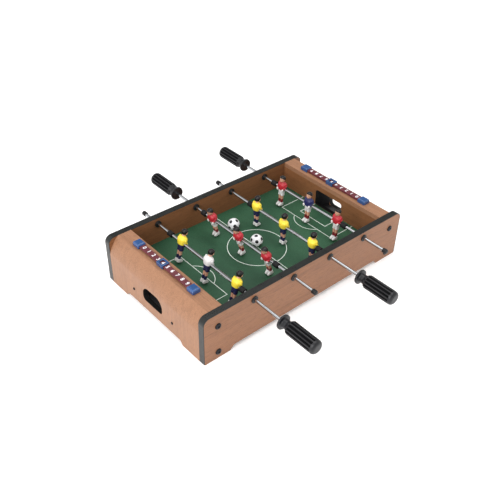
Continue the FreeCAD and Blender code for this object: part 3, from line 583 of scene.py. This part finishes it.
def cross_head(bm, where, sign):
    """A pan-head screw along X with a cross recess in the top of its head."""
    count = 64
    half_slot, slot_reach, slot_depth = 0.36, 1.9, 0.8
    levels = [
        (0.25, 1.6), (0.5, 1.6), (0.8, 1.6), (1.1, 1.58), (1.4, 1.55), (1.7, 1.5), (2.0, 1.42),
        (2.4, 1.25), (2.8, 0.85), (SCREW_HEAD, 0.3), (SCREW_HEAD, 0.0),
        (1.5, 0.0), (1.5, -14.0), (0.4, -15.0),
    ]
    rings = []
    for r, h in levels:
        ring = []
        for i in range(count):
            angle = 2 * math.pi * i / count
            y, z = r * math.cos(angle), r * math.sin(angle)
            in_cross = min(abs(y), abs(z)) < half_slot and r < slot_reach and h > 0
            level = h - (slot_depth if in_cross else 0.0)
            ring.append(where + Vector((sign * level, y, z)) * MM)
        rings.append(ring)
    join_rings(bm, rings)


# ---------------------------------------------------------------- field print
MITRE_LIMIT = 0.5


def ribbon(bm, points, width, low, high, closed=False):
    """A thin flat band along points in the plane of the field, with mitred corners."""
    count = len(points)
    edges = []
    for i, p in enumerate(points):
        before = points[i - 1] if closed or i else p
        after = points[(i + 1) % count] if closed or i < count - 1 else p
        way_in, way_out = (p - before), (after - p)
        way_in = way_in.normalized() if way_in.length else way_out.normalized()
        way_out = way_out.normalized() if way_out.length else way_in
        way = (way_in + way_out).normalized()
        stretch = 1 / max(MITRE_LIMIT, way.dot(way_in))
        side = Vector((-way.y, way.x)) * width / 2 * stretch
        edges.append((p - side, p + side))
    rings = [
        [Vector((p.x, p.y, z)) for p, z in ((a, low), (b, low), (b, high), (a, high))]
        for a, b in edges
    ]
    if closed:
        rings.append(rings[0])
    join_rings(bm, rings, 0, not closed, not closed)
    if closed:
        bmesh.ops.remove_doubles(bm, verts=bm.verts, dist=1e-8)


def arc(centre, radius, start, stop, steps=48):
    """Points round part of a circle, from one angle to another in degrees."""
    points = []
    for k in range(steps + 1):
        angle = math.radians(start + (stop - start) * k / steps)
        points.append(Vector(centre) + Vector((math.cos(angle), math.sin(angle))) * radius)
    return points


LINE_WIDTH = 1.35 * MM
INK_THICKNESS = 0.08 * MM
CENTRE_CIRCLE = 60.0 * MM
PENALTY_BOX = (138.0 * MM, 73.6 * MM)
GOAL_BOX = {"left": (170.0 * MM, 37.0 * MM), "right": (158.5 * MM, 37.0 * MM)}
ARC_RADIUS, ARC_DEPTH = 40.0 * MM, 19.0 * MM


def field_lines():
    """The white lines: a box is its front's distance from the middle, and its half width."""
    low, high = FIELD_TOP, FIELD_TOP + INK_THICKNESS
    half_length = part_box("playing_field")[1].x
    half_way = [Vector((0, -PANEL_INSIDE)), Vector((0, PANEL_INSIDE))]
    bm = bmesh.new()
    ribbon(bm, arc((0, 0), CENTRE_CIRCLE, 0, 360, 96)[:-1], LINE_WIDTH, low, high, True)
    ribbon(bm, half_way, LINE_WIDTH, low, high)
    for end, sign in ENDS.items():
        for x, y in (PENALTY_BOX, GOAL_BOX[end]):
            corners = [(half_length, -y), (x, -y), (x, y), (half_length, y)]
            ribbon(bm, [Vector((sign * a, b)) for a, b in corners], LINE_WIDTH, low, high)
        centre = PENALTY_BOX[0] - ARC_DEPTH + ARC_RADIUS
        half = math.degrees(math.acos((ARC_RADIUS - ARC_DEPTH) / ARC_RADIUS))
        inward = 180 if sign > 0 else 0
        points = arc((sign * centre, 0), ARC_RADIUS, inward - half, inward + half)
        ribbon(bm, points, LINE_WIDTH, low, high)
    piece("field_lines", bm, [line_ink], "cabinet")


# ---------------------------------------------------------------- score counters
SCORE_PITCH = 14.7 * MM
HIGHEST_SCORE = 9
DIGIT_SIZE = 10.8 * MM
DIGIT_FATTENING = 0.22 * MM
HALF_DIGIT_THICKNESS = 0.05 * MM


def digits():
    """Numbers 0 to 9 along each rail, read from that end of the table."""
    for end, sign in ENDS.items():
        low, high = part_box(f"score_rail_{end}")
        centre_y = (low.y + high.y) / 2
        bm = bmesh.new()
        for number in range(HIGHEST_SCORE + 1):
            text = bpy.data.curves.new("digit", "FONT")
            text.body = str(number)
            text.size = DIGIT_SIZE
            text.offset = DIGIT_FATTENING
            text.extrude = HALF_DIGIT_THICKNESS
            text.resolution_u = 5
            text.align_x, text.align_y = "CENTER", "CENTER"
            holder = bpy.data.objects.new("digit", text)
            mesh = bpy.data.meshes.new_from_object(holder)
            turn = Matrix.Rotation(math.radians(90 * sign), 4, "Z")
            y = centre_y + sign * SCORE_PITCH * (number - HIGHEST_SCORE / 2)
            spot = Vector(((low.x + high.x) / 2, y, high.z + HALF_DIGIT_THICKNESS))
            mesh.transform(Matrix.Translation(spot) @ turn)
            bm.from_mesh(mesh)
            bpy.data.meshes.remove(mesh)
            bpy.data.objects.remove(holder)
            bpy.data.curves.remove(text)
        piece(f"digits_{end}", bm, [digit_ink], "cabinet")


# ---------------------------------------------------------------- rods
GRIP_RADIUS = 13.5
HANDLE_PROFILE = [
    (3.4, 0.0), (13.3, 0.0), (14.5, 0.8), (14.5, 3.8), (13.2, 4.4), (9.6, 4.7), (8.75, 5.8),
    (8.75, 14.3), (9.6, 15.2), (13.0, 19.4), (GRIP_RADIUS, 20.6), (GRIP_RADIUS, 77.0),
    (13.2, 79.0), (12.3, 80.9), (10.6, 82.4), (8.2, 83.3), (5.0, 83.5), (2.0, 83.5),
]
FLUTES = 12
FLUTE_RADIUS = 2.6 * MM
FLUTE_DEPTH = 2.0 * MM
FLUTE_REACH = (17.6 * MM, 76.5 * MM)
# Faces in the flutes from this far along and below this radius get the painted shade
GROOVE_SHADE_FROM = FLUTE_REACH[0] + 3 * MM
GROOVE_SHADE_RADIUS = (GRIP_RADIUS - 0.5) * MM
ROW_STEP = 0.5
LONG_RUN = 40.0


def fluted(r, y, angle):
    """The handle's radius: a round-ended groove is sunk into the grip at every flute."""
    low, high = FLUTE_REACH
    if not low < y < high:
        return r
    pitch = 2 * math.pi / FLUTES
    across = abs((angle + pitch / 2) % pitch - pitch / 2) * r
    to_end = min(y - low, high - y)
    along = max(0.0, FLUTE_RADIUS - to_end)
    off = math.hypot(across, along)
    if off >= FLUTE_RADIUS:
        return r
    return r - FLUTE_DEPTH * math.sqrt(1 - (off / FLUTE_RADIUS) ** 2)


def handle_rows():
    """The handle's outline: close rows where it curves and where the flutes end, else sparse."""
    profile = rounded(HANDLE_PROFILE, 0.8, 3)
    rows = []
    for a, b in zip(profile, profile[1:]):
        if (b - a).length > LONG_RUN:
            rows += [(a.x, a.y + 0.45 * k) for k in range(8)]
            rows += [(a.x, y) for y in (27, 35, 45, 55, 65, 72)]
            rows += [(a.x, 73.5 + 0.4 * k) for k in range(7)]
        else:
            count = max(1, round((b - a).length / ROW_STEP))
            rows += [tuple(a.lerp(b, k / count)) for k in range(count)]
    rows.append(tuple(profile[-1]))
    return rows


def handles():
    """The fluted grips; the faces down in their grooves get a darker, duller material as painted
    shade.
    """
    rows = handle_rows()
    for number in RODS:
        low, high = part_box(f"handle_{number}")
        sign = -1 if middle(f"handle_{number}").y < 0 else 1
        inner_end = low.y if sign > 0 else high.y
        where = Vector((ROD_X[number], inner_end, ROD_HEIGHT))
        bm = bmesh.new()
        for face in lathe(bm, scaled(rows), where, sign, FLUTES * 12, radius_at=fluted):
            centre = face.calc_center_median() - where
            along, out = sign * centre.y, math.hypot(centre.x, centre.z)
            # Faces down in a flute get the painted-shade material
            sunk = GROOVE_SHADE_FROM < along < FLUTE_REACH[1] and out < GROOVE_SHADE_RADIUS
            face.material_index = int(sunk)
        materials, body = [handle_plastic, groove_shade_plastic], f"rod_set_{number}"
        piece(f"grip_{number}", bm, materials, body, [f"handle_{number}"])


END_CAP_PROFILE = [
    (3.3, 0.0), (4.5, 0.0), (4.9, 0.6), (4.9, 7.8), (4.5, 9.0), (3.2, 10.0), (1.0, 10.0),
]
RUBBER_PROFILE = [
    (3.26, 0.4), (3.7, 0.0), (5.4, 0.0), (5.75, 0.5), (5.75, 2.6), (5.4, 3.0), (5.4, 3.6),
    (5.75, 4.0), (5.75, 8.0), (5.4, 8.4), (5.4, 9.0), (5.75, 9.4), (5.75, 11.5), (5.4, 12.0),
    (3.7, 12.0), (3.26, 11.6),
]
ROD_CHAMFER = 0.4 * MM


def bars():
    """Chromed bars, their end caps and their rubber rings."""
    for number in RODS:
        body = f"rod_set_{number}"
        low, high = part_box(f"rod_{number}")
        x, radius, length = ROD_X[number], (high.z - low.z) / 2, high.y - low.y
        rows = [
            (radius - ROD_CHAMFER, 0.0), (radius, ROD_CHAMFER),
            (radius, length - ROD_CHAMFER), (radius - ROD_CHAMFER, length),
        ]
        bm = bmesh.new()
        lathe(bm, rows, Vector((x, low.y, ROD_HEIGHT)))
        piece(f"bar_{number}", bm, [chrome], body, [f"rod_{number}"])
        low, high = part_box(f"end_cap_{number}")
        sign = 1 if low.y > 0 else -1
        where = Vector((x, low.y if sign > 0 else high.y, ROD_HEIGHT))
        bm = bmesh.new()
        lathe(bm, scaled(rounded(END_CAP_PROFILE, 0.9)), where, sign)
        piece(f"cap_{number}", bm, [cap_plastic], body, [f"end_cap_{number}"])
        low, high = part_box(f"bumpers_{number}")
        ring = scaled(rounded(RUBBER_PROFILE, 0.3, 3))
        bm = bmesh.new()
        for y, sign in ((low.y, 1), (high.y, -1)):
            lathe(bm, ring, Vector((x, y, ROD_HEIGHT)), sign, closed=True)
        body, node = f"bumper_set_{number}", f"bumpers_{number}"
        piece(f"rubbers_{number}", bm, [rubber], body, [node])
        frame["nodes"][f"player_pins_{number}"].data.materials[0] = pin_steel


# ---------------------------------------------------------------- players
SHIRT, SLEEVE, GLOVE, SHORTS, SKIN, SOCK, BOOT, HAIR, EYE = range(9)
# shirt, sleeves, shorts, socks
KITS = {
    "yellow": ("yellow", "yellow", "navy", "navy"),
    "red": ("red", "red", "white", "dark_red"),
    "white_keeper": ("white", "white", "navy", "navy"),
    "blue_keeper": ("blue", "blue", "white", "dark_red"),
}
ROUND = 20
LIMB_ROUND = 12
HEAD_SPREAD = (1.36, 1.40, 1.36)
HEAD_SHIFT = (1.2, 0.0, -4.2)
CHIN_HEIGHT = 20.1
HEAD_CENTRE = (2.0, 24.1)


def section(z, half_width, front, back, y=0.0, x=0.0, square=0.85):
    """A level ring of the figure, in millimetres, with its own reach to the front and back."""
    points = []
    for i in range(ROUND):
        angle = 2 * math.pi * i / ROUND
        c, s = math.cos(angle), math.sin(angle)
        reach = front if c > 0 else back
        px = x + reach * math.copysign(abs(c) ** square, c)
        py = y + half_width * math.copysign(abs(s) ** square, s)
        points.append(Vector((px, py, z)) * MM)
    return points


def limb(bm, stations, material, squash=1.0):
    """A round tapering limb through (point, radius) stations."""
    rings = []
    for i, (point, radius) in enumerate(stations):
        ahead = Vector(stations[min(i + 1, len(stations) - 1)][0])
        behind = Vector(stations[max(i - 1, 0)][0])
        turn = (ahead - behind).to_track_quat("Z", "Y").to_matrix()
        ring = []
        for k in range(LIMB_ROUND):
            angle = 2 * math.pi * k / LIMB_ROUND
            offset = Vector((radius * math.cos(angle), squash * radius * math.sin(angle), 0))
            ring.append((Vector(point) + turn @ offset) * MM)
        rings.append(ring)
    join_rings(bm, rings, material)


def blob(bm, centre, radii, material):
    """A small closed egg shape."""
    rings = []
    for k in range(1, 6):
        angle = math.pi * k / 6
        flat = math.sin(angle)
        rings.append([
            (Vector(centre) + Vector((
                radii[0] * flat * math.cos(math.pi * i / 5),
                radii[1] * flat * math.sin(math.pi * i / 5),
                -radii[2] * math.cos(angle),
            ))) * MM
            for i in range(10)
        ])
    join_rings(bm, rings, material)


# Sections: height, half width, reach to the front, reach to the back and, for legs, how far out.
# Limbs: point, radius. All are in millimetres from the rod's axis.
def torso_and_arms(bm):
    """The shirt, its short sleeves, and forearms that bend forward to closed hands."""
    join_rings(bm, [section(*row) for row in (
        (-2.6, 7.4, 6.2, 6.4), (-2.8, 8.4, 7.0, 7.4), (-2.0, 8.8, 7.4, 7.8), (0.4, 9.4, 7.8, 8.4),
        (3.0, 10.0, 8.2, 9.0), (6.0, 10.8, 8.4, 9.2), (8.6, 11.0, 8.2, 9.0),
        (10.8, 10.4, 7.4, 8.2), (12.4, 8.8, 6.4, 6.8), (13.6, 6.6, 5.4, 5.4),
        (14.4, 5.0, 4.7, 4.5), (15.0, 4.4, 4.3, 4.1), (15.6, 4.2, 4.1, 3.9), (15.5, 3.4, 3.4, 3.2),
    )], SHIRT)
    for side in (-1, 1):
        limb(bm, [
            ((0.0, side * 7.4, 11.0), 3.3), ((-0.2, side * 9.4, 10.4), 4.2),
            ((-0.4, side * 10.4, 8.8), 4.2), ((-0.4, side * 9.2, 7.0), 3.0),
            ((-0.3, side * 8.6, 6.2), 2.6), ((-0.2, side * 8.6, 6.1), 2.0),
        ], SHIRT)
        limb(bm, [
            ((-0.3, side * 8.4, 7.4), 2.4), ((0.6, side * 8.4, 4.6), 2.7),
            ((2.6, side * 8.3, 2.8), 2.8), ((4.6, side * 8.1, 1.3), 2.6),
            ((5.4, side * 8.0, 0.6), 2.7), ((5.5, side * 8.0, 0.5), 2.1),
        ], SLEEVE)
        limb(bm, [
            ((4.8, side * 8.0, 1.1), 1.8), ((6.1, side * 7.9, -0.6), 2.4),
            ((6.7, side * 7.6, -2.3), 2.6), ((6.5, side * 7.3, -4.1), 2.2),
            ((5.9, side * 7.1, -5.2), 1.2),
        ], GLOVE, 0.85)
        blob(bm, (6.2, side * 5.8, -1.8), (1.1, 1.0, 1.7), GLOVE)


def hips_and_legs(bm):
    """Shorts, bare knees, socks with a turned top, and boots with a sole."""
    join_rings(bm, [section(*row) for row in (
        (-1.4, 7.4, 6.2, 6.4), (-3.4, 7.8, 6.5, 6.8), (-8.0, 7.5, 6.1, 6.5),
        (-11.0, 7.0, 5.5, 5.9), (-12.4, 6.1, 4.7, 5.0),
    )], SHORTS)
    for side in (-1, 1):
        join_rings(bm, [section(z, w, f, b, side * y) for z, w, f, b, y in (
            (-9.6, 3.1, 4.7, 4.9, 3.3), (-12.5, 3.3, 4.9, 5.1, 3.4), (-15.6, 3.35, 4.8, 4.9, 3.45),
            (-16.4, 3.35, 4.8, 4.8, 3.45), (-16.5, 2.7, 4.1, 4.1, 3.3),
        )], SHORTS)
        join_rings(bm, [section(z, w, f, b, side * y) for z, w, f, b, y in (
            (-14.5, 2.8, 3.9, 3.9, 3.1), (-18.4, 2.7, 3.6, 3.6, 3.0), (-21.6, 2.6, 3.3, 3.1, 2.95),
            (-23.8, 2.6, 3.5, 2.8, 2.95), (-25.6, 2.5, 3.2, 3.0, 2.95),
            (-26.8, 2.3, 2.8, 2.9, 2.95),
        )], SKIN)
        join_rings(bm, [section(z, w, f, b, side * y) for z, w, f, b, y in (
            (-25.4, 2.3, 2.9, 2.8, 2.95), (-25.3, 2.9, 3.5, 3.4, 2.95),
            (-26.5, 2.9, 3.5, 3.5, 2.95), (-27.0, 2.75, 3.1, 3.5, 2.95),
            (-29.2, 2.8, 3.0, 3.7, 2.95), (-31.8, 2.6, 2.8, 3.3, 2.95),
            (-34.0, 2.5, 2.8, 3.1, 3.0), (-35.2, 2.4, 2.8, 3.1, 3.05),
        )], SOCK)
        join_rings(bm, [section(z, w, f, b, side * 3.15, 0.0, 0.7) for z, w, f, b in (
            (-34.0, 2.3, 2.4, 2.7), (-33.9, 2.9, 3.5, 3.6), (-34.9, 3.0, 4.2, 3.9),
            (-36.0, 3.1, 6.0, 4.2), (-37.2, 3.2, 8.0, 4.5), (-38.4, 3.25, 9.0, 4.7),
            (-39.2, 3.2, 9.2, 4.7), (-39.5, 3.2, 9.2, 4.7), (-39.7, 3.3, 9.4, 4.9),
            (-40.6, 3.3, 9.1, 4.9), (-40.8, 3.1, 8.6, 4.6),
        )], BOOT)


def head_and_hair(bm):
    """The head, modelled small and then spread about its chin and moved forward, and the neck."""
    join_rings(bm, [section(z, w, f, b, 0.0, 0.35) for z, w, f, b in (
        (20.1, 1.5, 3.2, 0.6), (20.6, 2.3, 3.9, 1.9), (21.8, 3.1, 4.1, 3.2),
        (23.2, 3.6, 4.15, 3.9), (24.8, 3.95, 4.2, 4.4), (26.4, 4.0, 4.2, 4.6),
        (28.0, 3.4, 3.5, 4.0), (29.0, 2.0, 2.2, 2.6),
    )], SKIN)
    join_rings(bm, [section(z, w, f, b, 0.0, 0.2) for z, w, f, b in (
        (21.9, 2.7, 0.2, 3.6), (22.3, 3.6, 0.3, 4.4), (23.6, 4.2, 0.6, 4.9), (25.2, 4.5, 1.6, 5.1),
        (26.5, 4.55, 3.3, 5.1), (27.1, 4.45, 4.6, 5.0), (28.2, 3.95, 4.3, 4.5),
        (29.2, 2.9, 3.1, 3.5), (29.8, 1.5, 1.6, 1.9),
    )], HAIR)
    limb(bm, [
        ((4.0, 0, 25.3), 0.35), ((4.7, 0, 24.4), 0.6), ((5.1, 0, 23.7), 0.75),
        ((4.5, 0, 23.3), 0.5),
    ], SKIN)
    for side in (-1, 1):
        blob(bm, (0.6, side * 4.05, 24.3), (0.9, 0.55, 1.3), SKIN)
        blob(bm, (4.15, side * 1.5, 25.0), (0.42, 0.6, 0.36), EYE)
        blob(bm, (4.35, side * 1.5, 25.85), (0.3, 0.8, 0.22), HAIR)
    blob(bm, (4.3, 0, 21.9), (0.32, 1.0, 0.25), EYE)
    spread = Matrix.Diagonal((*HEAD_SPREAD, 1.0))
    chin = Matrix.Translation(Vector((0.0, 0.0, CHIN_HEIGHT)) * MM)
    bm.transform(Matrix.Translation(Vector(HEAD_SHIFT) * MM) @ chin @ spread @ chin.inverted())
    join_rings(bm, [section(*row) for row in (
        (13.5, 3.5, 3.2, 3.4), (15.6, 3.3, 3.4, 3.0), (17.2, 3.2, 3.7, 2.9), (19.2, 3.1, 3.7, 2.3),
    )], SKIN)


def figure_mesh():
    """One footballer about the rod's axis: facing +X, head up."""
    bm = bmesh.new()
    head_and_hair(bm)
    torso_and_arms(bm)
    hips_and_legs(bm)
    return bm


def rod_lean(number, facing):
    """The tilt of a rod's players, from where the middle one's head is farthest from the rod.

    The figures hold their heads forward of upright, and that angle is taken off.
    """
    verts = frame["nodes"][f"player_{number}_middle"].data.vertices
    offsets = [Vector((v.co.x - ROD_X[number], v.co.z - ROD_HEIGHT)) for v in verts]
    top = max((p for p in offsets if p.y > 10 * MM), key=lambda p: p.length)
    return math.atan2(top.x, top.y) - facing * math.atan2(*HEAD_CENTRE)


def kit_of(number, spot):
    """The middle players of the outer rods are the keepers."""
    if spot == "middle" and number in (1, 4):
        return "white_keeper" if number == 1 else "blue_keeper"
    return "yellow" if number in (1, 3) else "red"


def players():
    """The footballers, three on each rod, tilted as the CAD's solids are."""
    slots = {"yellow": "yellow_team", "red": "red_team"}
    for number in RODS:
        facing = 1 if number in (1, 3) else -1
        lean = rod_lean(number, facing)
        for spot in SPOTS:
            node = f"player_{number}_{spot}"
            kit = kit_of(number, spot)
            shirt, sleeve, shorts, sock = (cloth[name] for name in KITS[kit])
            materials = [shirt, sleeve, glove, shorts, skin, sock, boot, hair, eyes]
            body = f"rod_set_{number}"
            turn = Matrix.Rotation(lean, 4, "Y")
            if facing < 0:
                turn = turn @ Matrix.Rotation(math.pi, 4, "Z")
            where = Vector((ROD_X[number], middle(node).y, ROD_HEIGHT))
            bm = figure_mesh()
            bm.transform(Matrix.Translation(where) @ turn)
            name, slot = f"footballer_{number}_{spot}", slots.get(kit, kit)
            piece(name, bm, materials, body, [node], subdivide=1)


# ---------------------------------------------------------------- balls
def ball_panels():
    """The corners of a truncated icosahedron's faces on the unit sphere."""
    bm = bmesh.new()
    bmesh.ops.create_icosphere(bm, subdivisions=1, radius=1.0)
    edge = next(iter(bm.edges)).calc_length()
    bmesh.ops.bevel(
        bm, geom=bm.verts[:], offset=edge / 3, offset_type="OFFSET", segments=1, profile=0.5,
        affect="VERTICES",
    )
    panels = [[v.co.normalized() for v in face.verts] for face in bm.faces]
    bm.free()
    return panels


# A black panel is black as far as this angle from its middle
BLACK_SPAN = math.radians(17.0)
SEAM_DEPTH = 0.5 * MM
SEAM_START = 0.80


def ball(name, spin):
    """White and black sewn panels, whose edges sink into the seams."""
    low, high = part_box(name)
    centre, radius = (low + high) / 2, (high.z - low.z) / 2
    rows, columns = 9, 5
    about_x, about_y, about_z = (Matrix.Rotation(a, 3, axis) for a, axis in zip(spin, "XYZ"))
    turn = about_x @ about_y @ about_z
    bm = bmesh.new()
    for corners in ball_panels():
        heart = sum(corners, Vector()).normalized()
        black = len(corners) == 5
        loops = []
        for row in range(1, rows + 1):
            s = 1 - (1 - row / rows) ** 1.4
            sink = SEAM_DEPTH * max(0.0, (s - SEAM_START) / (1 - SEAM_START)) ** 2
            loop = []
            for a, b in zip(corners, corners[1:] + corners[:1]):
                for k in range(columns):
                    way = heart.lerp(a.lerp(b, k / columns), s).normalized()
                    loop.append(centre + turn @ way * (radius - sink))
            loops.append(loop)
        for face in join_rings(bm, loops, 0, True, False):
            way = (face.calc_center_median() - centre).normalized()
            face.material_index = int(black and (turn @ heart).angle(way) < BLACK_SPAN)
    bmesh.ops.remove_doubles(bm, verts=bm.verts, dist=0.01 * MM)
    body = name.replace("ball", "ball_body")
    piece(f"soccer_{name}", bm, [ball_white, ball_black], body, [name])


# ---------------------------------------------------------------- studio
FLOOR_HALF_SIZE = 6.0
# The chrome mirrors a grey patch of the white sky: its direction, its edge and its strength
PATCH_WAY = (0.53, 0.58, 0.61)
PATCH_FADE = {"From Min": 0.74, "From Max": 0.93, "To Min": 1.0, "To Max": 0.30}
# name, place, size, power
LIGHTS = (
    ("key", (-1.8, -0.35, 1.25), 1.6, 30.0),
    ("top", (0.3, 0.2, 1.9), 1.4, 16.0),
)
CAMERA_PLACE = (-0.7333, -0.8050, 0.8762)
CAMERA_TURN = (52.141, -1.428, -41.226)
CAMERA_LENS = 48.64
CAMERA_SHIFT = (-0.0126, 0.0051)


def studio_floor():
    bm = bmesh.new()
    bmesh.ops.create_grid(bm, x_segments=8, y_segments=8, size=FLOOR_HALF_SIZE)
    mesh = bpy.data.meshes.new("floor")
    bm.to_mesh(mesh)
    bm.free()
    mesh.materials.append(floor_white)
    floor = bpy.data.objects.new("floor", mesh)
    bpy.context.scene.collection.objects.link(floor)


def studio_sky():
    world = bpy.data.worlds.new("studio")
    world.use_nodes = True
    nodes, links = world.node_tree.nodes, world.node_tree.links
    nodes["Background"].inputs["Color"].default_value = (1.0, 1.0, 1.0, 1.0)
    way = nodes.new("ShaderNodeTexCoord")
    along = nodes.new("ShaderNodeVectorMath")
    along.operation = "DOT_PRODUCT"
    along.inputs[1].default_value = PATCH_WAY
    fade = nodes.new("ShaderNodeMapRange")
    fade.interpolation_type = "SMOOTHSTEP"
    for socket, value in PATCH_FADE.items():
        fade.inputs[socket].default_value = value
    links.new(way.outputs["Generated"], along.inputs[0])
    links.new(along.outputs["Value"], fade.inputs["Value"])
    links.new(fade.outputs["Result"], nodes["Background"].inputs["Strength"])
    bpy.context.scene.world = world
    bpy.context.scene.view_settings.view_transform = "Standard"


def soft_light(name, place, size, power):
    """A square lamp that points at the middle of the table's underside."""
    lamp = bpy.data.lights.new(name, "AREA")
    lamp.shape = "SQUARE"
    lamp.size = size
    lamp.energy = power
    thing = bpy.data.objects.new(name, lamp)
    thing.location = place
    thing.rotation_euler = (-Vector(place)).to_track_quat("-Z", "Y").to_euler()
    bpy.context.scene.collection.objects.link(thing)


def camera():
    lens = bpy.data.cameras.new("camera")
    lens.lens = CAMERA_LENS
    lens.sensor_width = 36.0
    lens.shift_x, lens.shift_y = CAMERA_SHIFT
    lens.clip_start = 0.01
    thing = bpy.data.objects.new("camera", lens)
    thing.location = CAMERA_PLACE
    thing.rotation_euler = [math.radians(angle) for angle in CAMERA_TURN]
    bpy.context.scene.collection.objects.link(thing)
    bpy.context.scene.camera = thing


cabinet()
bushings()
bolts()
field_lines()
digits()
handles()
bars()
players()
ball("ball_1", (0.5, 0.3, 0.2))
ball("ball_2", (-0.4, 0.9, 1.1))
studio_floor()
studio_sky()
for light in LIGHTS:
    soft_light(*light)
camera()
